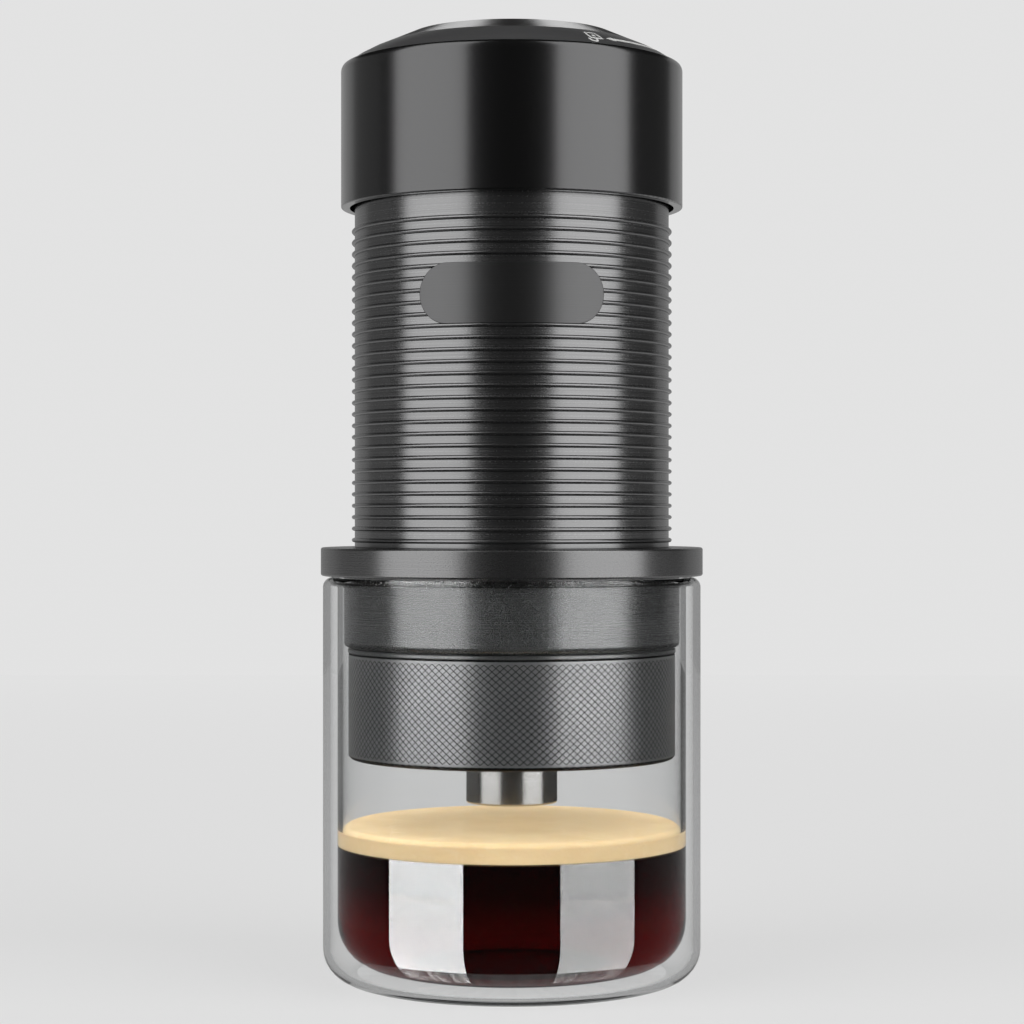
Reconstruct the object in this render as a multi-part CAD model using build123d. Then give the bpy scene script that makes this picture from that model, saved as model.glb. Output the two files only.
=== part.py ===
from build123d import *
import math
import os

# Hand-pumped espresso maker standing on a double-wall glass cup.
# Millimetres, +Z up. The origin is the centre of the cup's foot, and the front faces -Y.
# Every piece but the springs, the hex nut and the front plate is turned about the Z axis.

# ---------------------------------------------------------------- driving sizes

# glass cup: two blown walls joined at a rolled rim
cup_radius = 34.6
cup_height = 73.6
cup_foot_corner = 6.0
cup_outer_wall = 1.3
cup_wall_gap = 1.35         # sealed space between the two walls
cup_inner_wall = 0.9
cup_inner_corner = 8.0
cup_floor_gap = 0.9

# double espresso in the cup: dark coffee with a layer of crema on it
coffee_depth = 21.3
crema_depth = 4.0
crema_edge = 1.1

# fits between pieces
rim_gap = 0.3           # flange above the cup's rim
collar_clearance = 0.3  # brew head's collar in the cup's mouth
nested_gap = 0.1        # between pieces of one assembly that slide into each other
running_fit = 0.07      # piston in its bore, rod in its guide
swivel_fit = 0.1        # pump head on its shoulder screw
plug_fit = 0.2          # pump unit in the tank's mouth and the outlet socket
thread_gap = 0.3        # portafilter neck in the brew head's skirt
seat_gap = 0.3          # between faces of two bodies that meet at rest
lock_gap = 0.4          # bayonet lugs against rib and tower
overshoot = 1.0         # how far a cutting form reaches past the piece it cuts

# cup flange and brew head
flange_overhang = 0.4       # past the cup's outer wall
flange_height = 5.15
flange_edge = 0.4
collar_height = 12.95
collar_edge = 1.0
skirt_wall = 2.15
gasket_seat_depth = 8.65    # from the collar's lower edge up to the bulkhead
bulkhead_height = 5.4
spigot_height = 5.5         # above the flange
spigot_wall = 2.7
outlet_hub_radius = 9.0
outlet_socket_depth = 5.0
outlet_bore_radius = 1.5
shower_recess_inset = 1.9   # inside the gasket
shower_recess_depth = 1.0

# collar seal, gasket and shower screen
collar_seal_inset = 0.7     # inside the collar's face
collar_seal_height = 1.0
gasket_margin = 0.4         # outside the basket's rim
gasket_width = 4.5
gasket_height = 2.0
screen_thickness = 0.6
screen_hole_radius = 0.8
screen_inner_circle = 7.5
screen_inner_count = 6
screen_outer_circle = 15.0
screen_outer_count = 12

# filter basket
basket_clearance = 0.5      # in the portafilter's bore
basket_wall = 0.6
basket_depth = 15.0
basket_corner = 2.0
basket_rim_width = 3.0
basket_rim_height = 1.0
basket_rim_clearance = 0.1

# portafilter
portafilter_inset = 0.8     # inside the collar's face
portafilter_height = 19.1
portafilter_top_gap = 0.25
portafilter_edge = 1.0
portafilter_floor = 2.5
neck_height = 6.5
neck_wall = 4.8

# spout, its washer and its nut
spout_radius = 8.35
spout_length = 8.3
spout_mouth_radius = 6.9
spout_mouth_depth = 4.7
spout_bore_radius = 3.2
spout_taper_depth = 2.5
spout_neck_radius = 5.0
spout_washer_radius = 7.6
spout_washer_thickness = 0.8
spout_nut_flats = 13.0
spout_nut_height = 2.5
spout_neck_proud = 0.4

# ribbed sleeve and front plate
sleeve_radius = 28.79
sleeve_wall = 1.79
sleeve_height = 63.95
sleeve_neck = 6.2           # smooth part above the middle of the highest bead
bead_count = 28
bead_height = 0.55
bead_width = 1.0
bead_crest = 0.5
first_bead = 1.35           # centre of the lowest bead above the flange
plate_height = 10.7
plate_straight = 22.6
plate_end_length = 4.85
plate_thickness = 0.6
plate_centre = 44.5         # above the flange

# water tank
tank_wall = 1.5
tank_floor = 1.6
tank_hub_height = 2.75
tank_hub_wall = 1.7
tank_seal_width = 1.5
tank_seal_height = 0.6

# pump housing with its lock tower
housing_setback = 0.29      # inside the sleeve's wall
housing_flange_height = 2.4
housing_plug_depth = 5.0
housing_plug_wall = 2.4
housing_floor = 4.4
tower_wall = 1.8
tower_height = 6.8
rib_depth = 1.6
rib_height = 2.4
lug_count = 3
rib_gap_angle = 50.0
lug_angle = 40.0

# pump cylinder, guide and wiper
bore_radius = 9.0
cylinder_wall = 1.6
cylinder_flange_radius = 13.5
cylinder_flange_height = 1.6
guide_length = 11.0
guide_flange_radius = 10.4
guide_flange_height = 1.4
wiper_radius = 7.0
wiper_height = 1.2

# valve block under the cylinder
block_clearance = 0.6       # above the tank's hub
block_height = 3.5
block_spigot = 2.0
nose_radius = 5.7
nose_length = 9.0
nose_land = 0.5             # below the seal's groove
chamber_radius = 2.3
chamber_floor_height = 3.5  # above the nose's end
inlet_port_radius = 0.9
inlet_port_circle = 7.0
inlet_port_count = 6
flap_radius = 8.6
flap_thickness = 0.6
seat_radius = 3.4
seat_depth = 2.5
seat_bore_radius = 1.3
seat_flange_radius = 5.0
seat_flange_height = 0.7
ball_radius = 2.0
ball_clearance = 0.1
outlet_spring_radius = 1.6
outlet_spring_wire = 0.4
outlet_spring_turns = 5

# round seals share one section
ring_section = 1.5
ring_corner = 0.44
ring_squeeze = 0.1          # left between a seal and the bore it runs in
groove_clearance = 0.2

# plunger
pump_rest_gap = 0.4
piston_length = 12.0
piston_groove_first = 2.2
piston_groove_pitch = 4.6
rod_radius = 4.0
rod_tail_radius = 2.5
rod_tail_length = 8.0
screw_thread_radius = 2.0
screw_thread_length = 8.0
screw_shank_radius = 2.9
screw_head_radius = 5.5
screw_head_height = 2.1
screw_socket_radius = 1.6
screw_socket_depth = 1.3

# return spring
spring_radius = 12.4
spring_wire = 1.3
spring_turns = 5.5
spring_end_gap = 0.1

# pump head
cap_clearance = 0.91        # over the sleeve's wall
cap_wall = 1.6
cap_overlap = 1.9           # the skirt hides the sleeve's top by this much
cap_height = 25.5
cap_shoulder = 0.7
cap_lower_edge = 0.3
core_plate = 1.7
core_wall = 2.0
core_height = 18.0
lug_height = 2.4
core_screw_inset = 9.6      # inside the core's bore
core_screw_radius = 1.25
core_screw_head_radius = 2.2
core_screw_head_height = 1.4
core_screw_length = 4.4

# indicator ring and polished disc on top
indicator_inset = 0.7       # inside the cap's face
indicator_edge = 0.35
indicator_height = 4.2
indicator_width = 7.3
indicator_crown = 0.5       # how far the face's middle corner stands above a straight cone
indicator_crown_radius = 30.0
disc_plug_inset = 1.7
disc_plug_wall = 1.8
disc_bevel_width = 4.45
disc_height = 1.92
disc_roof = 1.5

# ---------------------------------------------------------------- heights worked out from them

cup_bore_radius = cup_radius - cup_outer_wall - cup_wall_gap - cup_inner_wall
flange_radius = cup_radius + flange_overhang
flange_bottom = cup_height + rim_gap
flange_top = flange_bottom + flange_height
collar_radius = cup_bore_radius - collar_clearance
collar_bottom = flange_bottom - collar_height
skirt_bore_radius = collar_radius - skirt_wall
collar_seal_radius = collar_radius - collar_seal_inset
bulkhead_bottom = collar_bottom + gasket_seat_depth
bulkhead_top = bulkhead_bottom + bulkhead_height
spigot_top = flange_top + spigot_height

portafilter_top = collar_bottom - collar_seal_height - portafilter_top_gap
portafilter_bottom = portafilter_top - portafilter_height
portafilter_radius = collar_radius - portafilter_inset
neck_radius = skirt_bore_radius - thread_gap
neck_bore_radius = neck_radius - neck_wall
neck_top = portafilter_top + neck_height
basket_radius = neck_bore_radius - basket_clearance
basket_rim_radius = basket_radius + basket_rim_width
gasket_radius = basket_rim_radius + gasket_margin
gasket_bore_radius = gasket_radius - gasket_width
basket_rim_bottom = neck_top + basket_rim_clearance
basket_rim_top = basket_rim_bottom + basket_rim_height
basket_floor_bottom = basket_rim_top - basket_depth
nut_bottom = portafilter_bottom + portafilter_floor + spout_washer_thickness

sleeve_top = flange_top + sleeve_height
sleeve_bore_radius = sleeve_radius - sleeve_wall
bead_pitch = (sleeve_height - first_bead - sleeve_neck) / (bead_count - 1)
tank_radius = sleeve_bore_radius - nested_gap
tank_bore_radius = tank_radius - tank_wall
spigot_radius = tank_bore_radius - nested_gap
tank_floor_top = spigot_top + tank_floor
tank_hub_top = tank_floor_top + tank_hub_height
socket_radius = nose_radius + plug_fit

housing_flange_radius = sleeve_radius - housing_setback
housing_flange_top = sleeve_top + housing_flange_height
tower_top = housing_flange_top + tower_height
rib_bottom = tower_top - rib_height
cylinder_radius = bore_radius + cylinder_wall
cylinder_top = housing_flange_top + cylinder_flange_height
block_bottom = tank_hub_top + block_clearance
cylinder_bottom = block_bottom + block_height
block_top = cylinder_bottom + block_spigot
nose_bottom = block_bottom - nose_length
chamber_floor = nose_bottom + chamber_floor_height
seat_bottom = block_top - seat_depth
seat_flange_bottom = block_top + flap_thickness
seat_top = seat_flange_bottom + seat_flange_height
ball_centre = seat_bottom - math.sqrt(ball_radius**2 - seat_bore_radius**2) - ball_clearance

piston_bottom = seat_top + pump_rest_gap
piston_top = piston_bottom + piston_length
piston_radius = bore_radius - running_fit

cap_bottom = sleeve_top - cap_overlap
cap_top = cap_bottom + cap_height
cap_bore_radius = sleeve_radius + cap_clearance
cap_radius = cap_bore_radius + cap_wall
cap_plate_bottom = cap_top - cap_wall
core_plate_bottom = cap_plate_bottom - core_plate
core_bottom = cap_plate_bottom - core_height
core_radius = cap_bore_radius - nested_gap
core_bore_radius = core_radius - core_wall
core_screw_circle = core_bore_radius - core_screw_inset
rib_radius = core_bore_radius - lock_gap
tower_radius = rib_radius - rib_depth
rod_top = core_plate_bottom - seat_gap
screw_head_bottom = cap_top + seat_gap
swivel_radius = screw_shank_radius + swivel_fit
indicator_radius = cap_radius - indicator_inset
indicator_top = cap_top + indicator_height
disc_radius = indicator_radius - indicator_width
disc_plug_radius = disc_radius - disc_plug_inset
disc_top_radius = disc_radius - disc_bevel_width
disc_top = indicator_top + disc_height


# ---------------------------------------------------------------- shared forms


def corner(before, point, after, radius):
    """Where an arc of this radius starts, passes and ends at a corner of an outline."""
    here = Vector(*point)
    back = (Vector(*before) - here).normalized()
    ahead = (Vector(*after) - here).normalized()
    half_angle = math.radians(back.get_angle(ahead)) / 2
    reach = radius / math.tan(half_angle)
    centre = here + (back + ahead).normalized() * (radius / math.sin(half_angle))
    middle = centre + (here - centre).normalized() * radius
    return here + back * reach, middle, here + ahead * reach


def section(points):
    """Closed face in the X-Z plane from (radius, height) or (radius, height, corner radius) points."""
    stops = []
    edges = []
    for i, point in enumerate(points):
        if len(point) == 2:
            stops.append((Vector(*point), Vector(*point)))
            continue
        start, middle, end = corner(points[i - 1][:2], point[:2], points[(i + 1) % len(points)][:2], point[2])
        edges.append(ThreePointArc(start, middle, end))
        stops.append((start, end))
    for i, (_, leave) in enumerate(stops):
        arrive = stops[(i + 1) % len(stops)][0]
        if (arrive - leave).length > 1e-6:
            edges.append(Line(leave, arrive))
    return Plane.XZ * make_face(edges)


def turned(*points):
    """Solid of revolution about the Z axis."""
    return revolve(section(points), Axis.Z)


def ring(inner, outer, bottom, top):
    return turned((inner, bottom), (outer, bottom), (outer, top), (inner, top))


def disc(radius, bottom, top):
    return turned((0, bottom), (radius, bottom), (radius, top), (0, top))


def seal_ring(groove_radius, bore, middle):
    """Round seal given eight flats, that stops just short of the bore it runs in."""
    half = ring_section / 2
    outer = bore - ring_squeeze
    return turned(
        (groove_radius + ring_corner, middle - half),
        (outer - ring_corner, middle - half),
        (outer, middle - half + ring_corner),
        (outer, middle + half - ring_corner),
        (outer - ring_corner, middle + half),
        (groove_radius + ring_corner, middle + half),
        (groove_radius, middle + half - ring_corner),
        (groove_radius, middle - half + ring_corner),
    )


def seal_groove(groove_radius, beyond, middle):
    half = ring_section / 2 + groove_clearance
    return ring(groove_radius, beyond, middle - half, middle + half)


def sector(inner, outer, bottom, top, middle_angle, width_angle):
    """Slice of a ring, middle_angle and width_angle in degrees."""
    slice_ = revolve(section(((inner, bottom), (outer, bottom), (outer, top), (inner, top))), Axis.Z, width_angle)
    return Rot(Z=middle_angle - width_angle / 2) * slice_


def coil(radius, wire, bottom, top, turns):
    """Compression spring between two seats, its round wire given eight flats."""
    rise = top - bottom - wire
    path = Pos(Z=bottom + wire / 2) * Helix(rise / turns, rise, radius)
    start = Plane(path @ 0, z_dir=path % 0)
    return sweep(start * RegularPolygon(wire / 2, 8), path, is_frenet=True)


def around(count, radius, height=0.0, first=0.0):
    return [Rot(Z=first + i * 360 / count) * Pos(radius, 0, height) for i in range(count)]


# ---------------------------------------------------------------- glass cup


def cup_outer_glass():
    """Foot, outer wall and rolled rim. The inner wall hangs from the rim's underside."""
    rim_round = (cup_radius - cup_bore_radius) / 2
    rim_base = cup_height - rim_round
    gap_radius = cup_radius - cup_outer_wall
    inner_corner = cup_foot_corner - cup_outer_wall
    body = turned(
        (0, 0),
        (cup_radius, 0, cup_foot_corner),
        (cup_radius, rim_base),
        (cup_bore_radius, rim_base),
        (gap_radius, rim_base),
        (gap_radius, cup_outer_wall, inner_corner),
        (0, cup_outer_wall),
    )
    rim_centre = (cup_bore_radius + cup_radius) / 2
    rim_face = make_face(
        [
            ThreePointArc((cup_radius, rim_base), (rim_centre, cup_height), (cup_bore_radius, rim_base)),
            Line((cup_bore_radius, rim_base), (cup_radius, rim_base)),
        ]
    )
    return body + revolve(Plane.XZ * rim_face, Axis.Z)


def cup_inner_glass():
    outer = cup_bore_radius + cup_inner_wall
    floor_bottom = cup_outer_wall + cup_floor_gap
    floor_top = floor_bottom + cup_inner_wall
    rim_base = cup_height - (cup_radius - cup_bore_radius) / 2
    return turned(
        (0, floor_bottom),
        (outer, floor_bottom, cup_inner_corner + cup_inner_wall),
        (outer, rim_base),
        (cup_bore_radius, rim_base),
        (cup_bore_radius, floor_top, cup_inner_corner),
        (0, floor_top),
    )


def coffee():
    """Fills the inner glass from its floor."""
    floor_top = cup_outer_wall + cup_floor_gap + cup_inner_wall
    level = floor_top + coffee_depth
    return turned(
        (0, floor_top),
        (cup_bore_radius, floor_top, cup_inner_corner),
        (cup_bore_radius, level),
        (0, level),
    )


def crema():
    """Foam that floats on the coffee, drawn down a little where it meets the glass."""
    level = cup_outer_wall + cup_floor_gap + cup_inner_wall + coffee_depth
    return turned(
        (0, level),
        (cup_bore_radius, level),
        (cup_bore_radius, level + crema_depth, crema_edge),
        (0, level + crema_depth),
    )


# ---------------------------------------------------------------- body of the maker


def cup_flange():
    """Flat ring that rests on the rim of the cup, clamped between brew head and sleeve."""
    return turned(
        (spigot_radius + nested_gap, flange_bottom),
        (flange_radius, flange_bottom, flange_edge),
        (flange_radius, flange_top, flange_edge),
        (spigot_radius + nested_gap, flange_top),
    )


def brew_head():
    """Collar with the portafilter's thread skirt below, a bulkhead, and a spigot for the tank above."""
    socket_floor = spigot_top - outlet_socket_depth
    recess_radius = gasket_bore_radius - shower_recess_inset
    recess_top = bulkhead_bottom + shower_recess_depth
    body = turned(
        (outlet_bore_radius, recess_top),
        (recess_radius, recess_top),
        (recess_radius, bulkhead_bottom),
        (skirt_bore_radius, bulkhead_bottom),
        (skirt_bore_radius, collar_bottom),
        (collar_radius, collar_bottom, collar_edge),
        (collar_radius, flange_bottom),
        (spigot_radius, flange_bottom),
        (spigot_radius, spigot_top),
        (spigot_radius - spigot_wall, spigot_top),
        (spigot_radius - spigot_wall, bulkhead_top),
        (outlet_hub_radius, bulkhead_top),
        (outlet_hub_radius, spigot_top),
        (socket_radius, spigot_top),
        (socket_radius, socket_floor),
        (outlet_bore_radius, socket_floor),
    )
    middle = spigot_radius - spigot_wall / 2
    half = tank_seal_width / 2
    return body - ring(middle - half, middle + half, spigot_top - tank_seal_height, spigot_top)


def tank_seal():
    middle = spigot_radius - spigot_wall / 2
    half = tank_seal_width / 2
    return ring(middle - half, middle + half, spigot_top - tank_seal_height, spigot_top)


def collar_seal():
    """Thin grey ring that shows between collar and portafilter."""
    return ring(skirt_bore_radius, collar_seal_radius, collar_bottom - collar_seal_height, collar_bottom)


def group_gasket():
    """Soft ring that the basket's rim is screwed up against."""
    return ring(gasket_bore_radius, gasket_radius, bulkhead_bottom - gasket_height, bulkhead_bottom)


def shower_screen():
    """Perforated plate held inside the gasket, below the recess that spreads the water."""
    bottom = bulkhead_bottom - screen_thickness
    plate = disc(gasket_bore_radius - nested_gap, bottom, bulkhead_bottom)
    drill = Cylinder(screen_hole_radius, 3 * screen_thickness)
    places = around(screen_inner_count, screen_inner_circle, bottom)
    places += around(screen_outer_count, screen_outer_circle, bottom)
    for place in places:
        plate -= place * drill
    return plate


def water_tank():
    """Open cup whose skirt slides over the spigot, with a hub round the pump's outlet nose."""
    hub_radius = socket_radius + tank_hub_wall
    return turned(
        (socket_radius, spigot_top),
        (tank_bore_radius, spigot_top),
        (tank_bore_radius, flange_top),
        (tank_radius, flange_top),
        (tank_radius, sleeve_top),
        (tank_bore_radius, sleeve_top),
        (tank_bore_radius, tank_floor_top),
        (hub_radius, tank_floor_top),
        (hub_radius, tank_hub_top),
        (socket_radius, tank_hub_top),
    )


def plate_outline(margin):
    """Pill-shaped prism towards the front, with ends narrowed as they wrap round the sleeve."""
    half_height = plate_height / 2 + margin
    pill = Rectangle(plate_straight, 2 * half_height)
    for side in (-1, 1):
        pill += Pos(X=side * plate_straight / 2) * Ellipse(plate_end_length + margin, half_height)
    return Pos(Z=flange_top + plate_centre) * extrude(Plane.XZ * pill, 2 * sleeve_radius)


def ribbed_sleeve():
    """Outer tube with its beads turned from the wall, milled flat to the wall where the plate sits."""
    points = [(sleeve_bore_radius, flange_top), (sleeve_radius, flange_top)]
    for i in range(bead_count):
        middle = flange_top + first_bead + i * bead_pitch
        points += [
            (sleeve_radius, middle - bead_width / 2),
            (sleeve_radius + bead_height, middle - bead_crest / 2),
            (sleeve_radius + bead_height, middle + bead_crest / 2),
            (sleeve_radius, middle + bead_width / 2),
        ]
    points += [(sleeve_radius, sleeve_top), (sleeve_bore_radius, sleeve_top)]
    band = ring(
        sleeve_radius,
        sleeve_radius + 2 * bead_height,
        flange_top + plate_centre - plate_height,
        flange_top + plate_centre + plate_height,
    )
    return turned(*points) - (band & plate_outline(nested_gap))


def front_plate():
    """Blank badge plate curved to the sleeve."""
    band = ring(
        sleeve_radius,
        sleeve_radius + plate_thickness,
        flange_top + plate_centre - plate_height,
        flange_top + plate_centre + plate_height,
    )
    return band & plate_outline(0.0)


# ---------------------------------------------------------------- filter basket and portafilter


def filter_basket():
    """Pressed cup with a flat rim that lies on the portafilter's neck."""
    return turned(
        (0, basket_floor_bottom),
        (basket_radius, basket_floor_bottom, basket_corner + basket_wall),
        (basket_radius, basket_rim_bottom),
        (basket_rim_radius, basket_rim_bottom),
        (basket_rim_radius, basket_rim_top),
        (basket_radius - basket_wall, basket_rim_top),
        (basket_radius - basket_wall, basket_floor_bottom + basket_wall, basket_corner),
        (0, basket_floor_bottom + basket_wall),
    )


def portafilter():
    """Grip cup whose neck screws into the brew head's skirt."""
    floor_top = portafilter_bottom + portafilter_floor
    return turned(
        (spout_neck_radius + nested_gap, portafilter_bottom),
        (portafilter_radius, portafilter_bottom, portafilter_edge),
        (portafilter_radius, portafilter_top),
        (neck_radius, portafilter_top),
        (neck_radius, neck_top),
        (neck_bore_radius, neck_top),
        (neck_bore_radius, floor_top, basket_corner),
        (spout_neck_radius + nested_gap, floor_top),
    )


def spout():
    """Polished tube with a wide mouth, its neck passed up through the portafilter's floor."""
    bottom = portafilter_bottom - spout_length
    mouth_top = bottom + spout_mouth_depth
    neck_top_height = nut_bottom + spout_nut_height + spout_neck_proud
    return turned(
        (spout_mouth_radius, bottom),
        (spout_radius, bottom),
        (spout_radius, portafilter_bottom),
        (spout_neck_radius, portafilter_bottom),
        (spout_neck_radius, neck_top_height),
        (spout_bore_radius, neck_top_height),
        (spout_bore_radius, mouth_top + spout_taper_depth),
        (spout_mouth_radius, mouth_top),
    )


def spout_washer():
    floor_top = portafilter_bottom + portafilter_floor
    return ring(spout_neck_radius, spout_washer_radius, floor_top, nut_bottom)


def spout_nut():
    hexagon = RegularPolygon(spout_nut_flats / 2, 6, major_radius=False)
    body = Pos(Z=nut_bottom) * extrude(hexagon, spout_nut_height)
    return body - disc(spout_neck_radius, nut_bottom - overshoot, nut_bottom + spout_nut_height + overshoot)


# ---------------------------------------------------------------- pump unit


def pump_housing():
    """Lid of the tank: a plug below, a floor that carries the cylinder, and the bayonet tower above."""
    plug_radius = tank_bore_radius - plug_fit
    plug_bottom = sleeve_top - housing_plug_depth
    bore = cylinder_radius + nested_gap
    body = turned(
        (bore, housing_flange_top - housing_floor),
        (plug_radius - housing_plug_wall, housing_flange_top - housing_floor),
        (plug_radius - housing_plug_wall, plug_bottom),
        (plug_radius, plug_bottom),
        (plug_radius, sleeve_top),
        (housing_flange_radius, sleeve_top),
        (housing_flange_radius, housing_flange_top),
        (tower_radius, housing_flange_top),
        (tower_radius, rib_bottom),
        (rib_radius, rib_bottom),
        (rib_radius, tower_top),
        (tower_radius - tower_wall, tower_top),
        (tower_radius - tower_wall, housing_flange_top),
        (bore, housing_flange_top),
    )
    for i in range(lug_count):
        angle = i * 360 / lug_count
        body -= sector(tower_radius, rib_radius + overshoot, rib_bottom, tower_top, angle, rib_gap_angle)
    groove_radius = plug_radius - ring_section + ring_squeeze
    return body - seal_groove(groove_radius, plug_radius + overshoot, housing_seal_middle())


def housing_seal_middle():
    return sleeve_top - housing_plug_depth / 2


def housing_o_ring():
    plug_radius = tank_bore_radius - plug_fit
    return seal_ring(plug_radius - ring_section + ring_squeeze, tank_bore_radius, housing_seal_middle())


def pump_cylinder():
    return turned(
        (bore_radius, cylinder_bottom),
        (cylinder_radius, cylinder_bottom),
        (cylinder_radius, housing_flange_top),
        (cylinder_flange_radius, housing_flange_top),
        (cylinder_flange_radius, cylinder_top),
        (bore_radius, cylinder_top),
    )


def rod_guide():
    """Bush that closes the cylinder's top and guides the piston rod."""
    guide_top = cylinder_top + guide_flange_height
    rod_bore = rod_radius + running_fit
    return turned(
        (rod_bore, cylinder_top - guide_length),
        (bore_radius, cylinder_top - guide_length),
        (bore_radius, cylinder_top),
        (guide_flange_radius, cylinder_top),
        (guide_flange_radius, guide_top),
        (wiper_radius, guide_top),
        (wiper_radius, guide_top - wiper_height),
        (rod_bore, guide_top - wiper_height),
    )


def rod_wiper():
    guide_top = cylinder_top + guide_flange_height
    return ring(rod_radius + ring_squeeze, wiper_radius, guide_top - wiper_height, guide_top)


def nose_seal_middle():
    return nose_bottom + nose_land + ring_section / 2 + groove_clearance


def nose_groove_radius():
    return nose_radius - ring_section + 2 * ring_squeeze


def valve_block():
    """Foot of the cylinder: ring of inlet ports, ball chamber and outlet nose in one turned piece."""
    body = turned(
        (outlet_bore_radius, nose_bottom),
        (nose_radius, nose_bottom),
        (nose_radius, block_bottom),
        (cylinder_radius, block_bottom),
        (cylinder_radius, cylinder_bottom),
        (bore_radius, cylinder_bottom),
        (bore_radius, block_top),
        (seat_radius, block_top),
        (seat_radius, seat_bottom),
        (chamber_radius, seat_bottom),
        (chamber_radius, chamber_floor),
        (outlet_bore_radius, chamber_floor),
    )
    body -= seal_groove(nose_groove_radius(), nose_radius + overshoot, nose_seal_middle())
    port = Cylinder(inlet_port_radius, 2 * (block_top - block_bottom))
    for place in around(inlet_port_count, inlet_port_circle, block_bottom):
        body -= place * port
    return body


def outlet_o_ring():
    return seal_ring(nose_groove_radius(), socket_radius, nose_seal_middle())


def inlet_flap():
    """Soft washer that lifts off the inlet ports on the up-stroke and covers them on the down-stroke."""
    return ring(seat_radius, flap_radius, block_top, seat_flange_bottom)


def valve_seat():
    """Bush pressed into the block: the ball seals on its lower edge and its flange clamps the flap."""
    return turned(
        (seat_bore_radius, seat_bottom),
        (seat_radius, seat_bottom),
        (seat_radius, seat_flange_bottom),
        (seat_flange_radius, seat_flange_bottom),
        (seat_flange_radius, seat_top),
        (seat_bore_radius, seat_top),
    )


def outlet_ball():
    return Pos(Z=ball_centre) * Sphere(ball_radius)


def outlet_spring():
    top = ball_centre - math.sqrt(ball_radius**2 - outlet_spring_radius**2)
    return coil(outlet_spring_radius, outlet_spring_wire, chamber_floor, top, outlet_spring_turns)


def return_spring():
    """Big spring between the cylinder's flange and the underside of the pump head."""
    top = core_plate_bottom - spring_end_gap
    return coil(spring_radius, spring_wire, cylinder_top + spring_end_gap, top, spring_turns)


# ---------------------------------------------------------------- plunger


def piston_seal_middles():
    return [piston_bottom + piston_groove_first + i * piston_groove_pitch for i in range(2)]


def piston_groove_radius():
    return bore_radius - ring_section + ring_squeeze


def piston():
    """Turned piston with two seal grooves and a blind hole for the rod's tail."""
    body = disc(piston_radius, piston_bottom, piston_top)
    body -= disc(rod_tail_radius, piston_top - rod_tail_length, piston_top + overshoot)
    for middle in piston_seal_middles():
        body -= seal_groove(piston_groove_radius(), piston_radius + overshoot, middle)
    return body


def piston_seals():
    seals = [seal_ring(piston_groove_radius(), bore_radius, middle) for middle in piston_seal_middles()]
    return Compound(children=seals)


def piston_rod():
    body = disc(rod_radius, piston_top, rod_top)
    body += disc(rod_tail_radius, piston_top - rod_tail_length, piston_top)
    return body - disc(screw_thread_radius, rod_top - screw_thread_length, rod_top + overshoot)


def shoulder_screw():
    """Screw in the rod's end on which the pump head turns."""
    head_top = screw_head_bottom + screw_head_height
    return turned(
        (0, rod_top - screw_thread_length),
        (screw_thread_radius, rod_top - screw_thread_length),
        (screw_thread_radius, rod_top),
        (screw_shank_radius, rod_top),
        (screw_shank_radius, screw_head_bottom),
        (screw_head_radius, screw_head_bottom),
        (screw_head_radius, head_top),
        (screw_socket_radius, head_top),
        (screw_socket_radius, head_top - screw_socket_depth),
        (0, head_top - screw_socket_depth),
    )


# ---------------------------------------------------------------- pump head


def cap_shell():
    """Smooth outer shell, open below, with a rounded shoulder under the indicator ring."""
    body = turned(
        (cap_bore_radius, cap_bottom),
        (cap_radius, cap_bottom, cap_lower_edge),
        (cap_radius, cap_top, cap_shoulder),
        (swivel_radius, cap_top),
        (swivel_radius, cap_plate_bottom),
        (cap_bore_radius, cap_plate_bottom),
    )
    for place in around(lug_count, core_screw_circle, cap_plate_bottom, 180 / lug_count):
        body -= place * Cylinder(core_screw_radius, 2 * core_screw_length)
    return body


def lock_core():
    """Inner cup of the head, with the bayonet lugs at its lower edge."""
    body = turned(
        (core_bore_radius, core_bottom),
        (core_radius, core_bottom),
        (core_radius, cap_plate_bottom),
        (swivel_radius, cap_plate_bottom),
        (swivel_radius, core_plate_bottom),
        (core_bore_radius, core_plate_bottom),
    )
    for i in range(lug_count):
        angle = i * 360 / lug_count
        lug_inner = tower_radius + lock_gap
        lug_outer = core_bore_radius + core_wall / 2
        body += sector(lug_inner, lug_outer, core_bottom, core_bottom + lug_height, angle, lug_angle)
    for place in around(lug_count, core_screw_circle, cap_plate_bottom, 180 / lug_count):
        body -= place * Cylinder(core_screw_radius, 4 * core_plate)
    return body


def core_screws():
    """Three screws that pull the lock core up against the shell's roof."""
    screw = disc(core_screw_head_radius, core_plate_bottom - core_screw_head_height, core_plate_bottom)
    screw += disc(core_screw_radius, core_plate_bottom, core_plate_bottom + core_screw_length)
    places = around(lug_count, core_screw_circle, 0.0, 180 / lug_count)
    return Compound(children=[place * screw for place in places])


def indicator_ring():
    """Sloped, slightly crowned black ring that carries the lock mark."""
    edge_top = cap_top + indicator_edge
    rise = indicator_top - edge_top
    slope = math.hypot(rise, indicator_width)
    crown_radius = (indicator_radius + disc_radius) / 2 + indicator_crown * rise / slope
    crown_height = (edge_top + indicator_top) / 2 + indicator_crown * indicator_width / slope
    return turned(
        (disc_plug_radius + nested_gap, cap_top),
        (indicator_radius, cap_top),
        (indicator_radius, edge_top),
        (crown_radius, crown_height, indicator_crown_radius),
        (disc_radius, indicator_top),
        (disc_plug_radius + nested_gap, indicator_top),
    )


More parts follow.
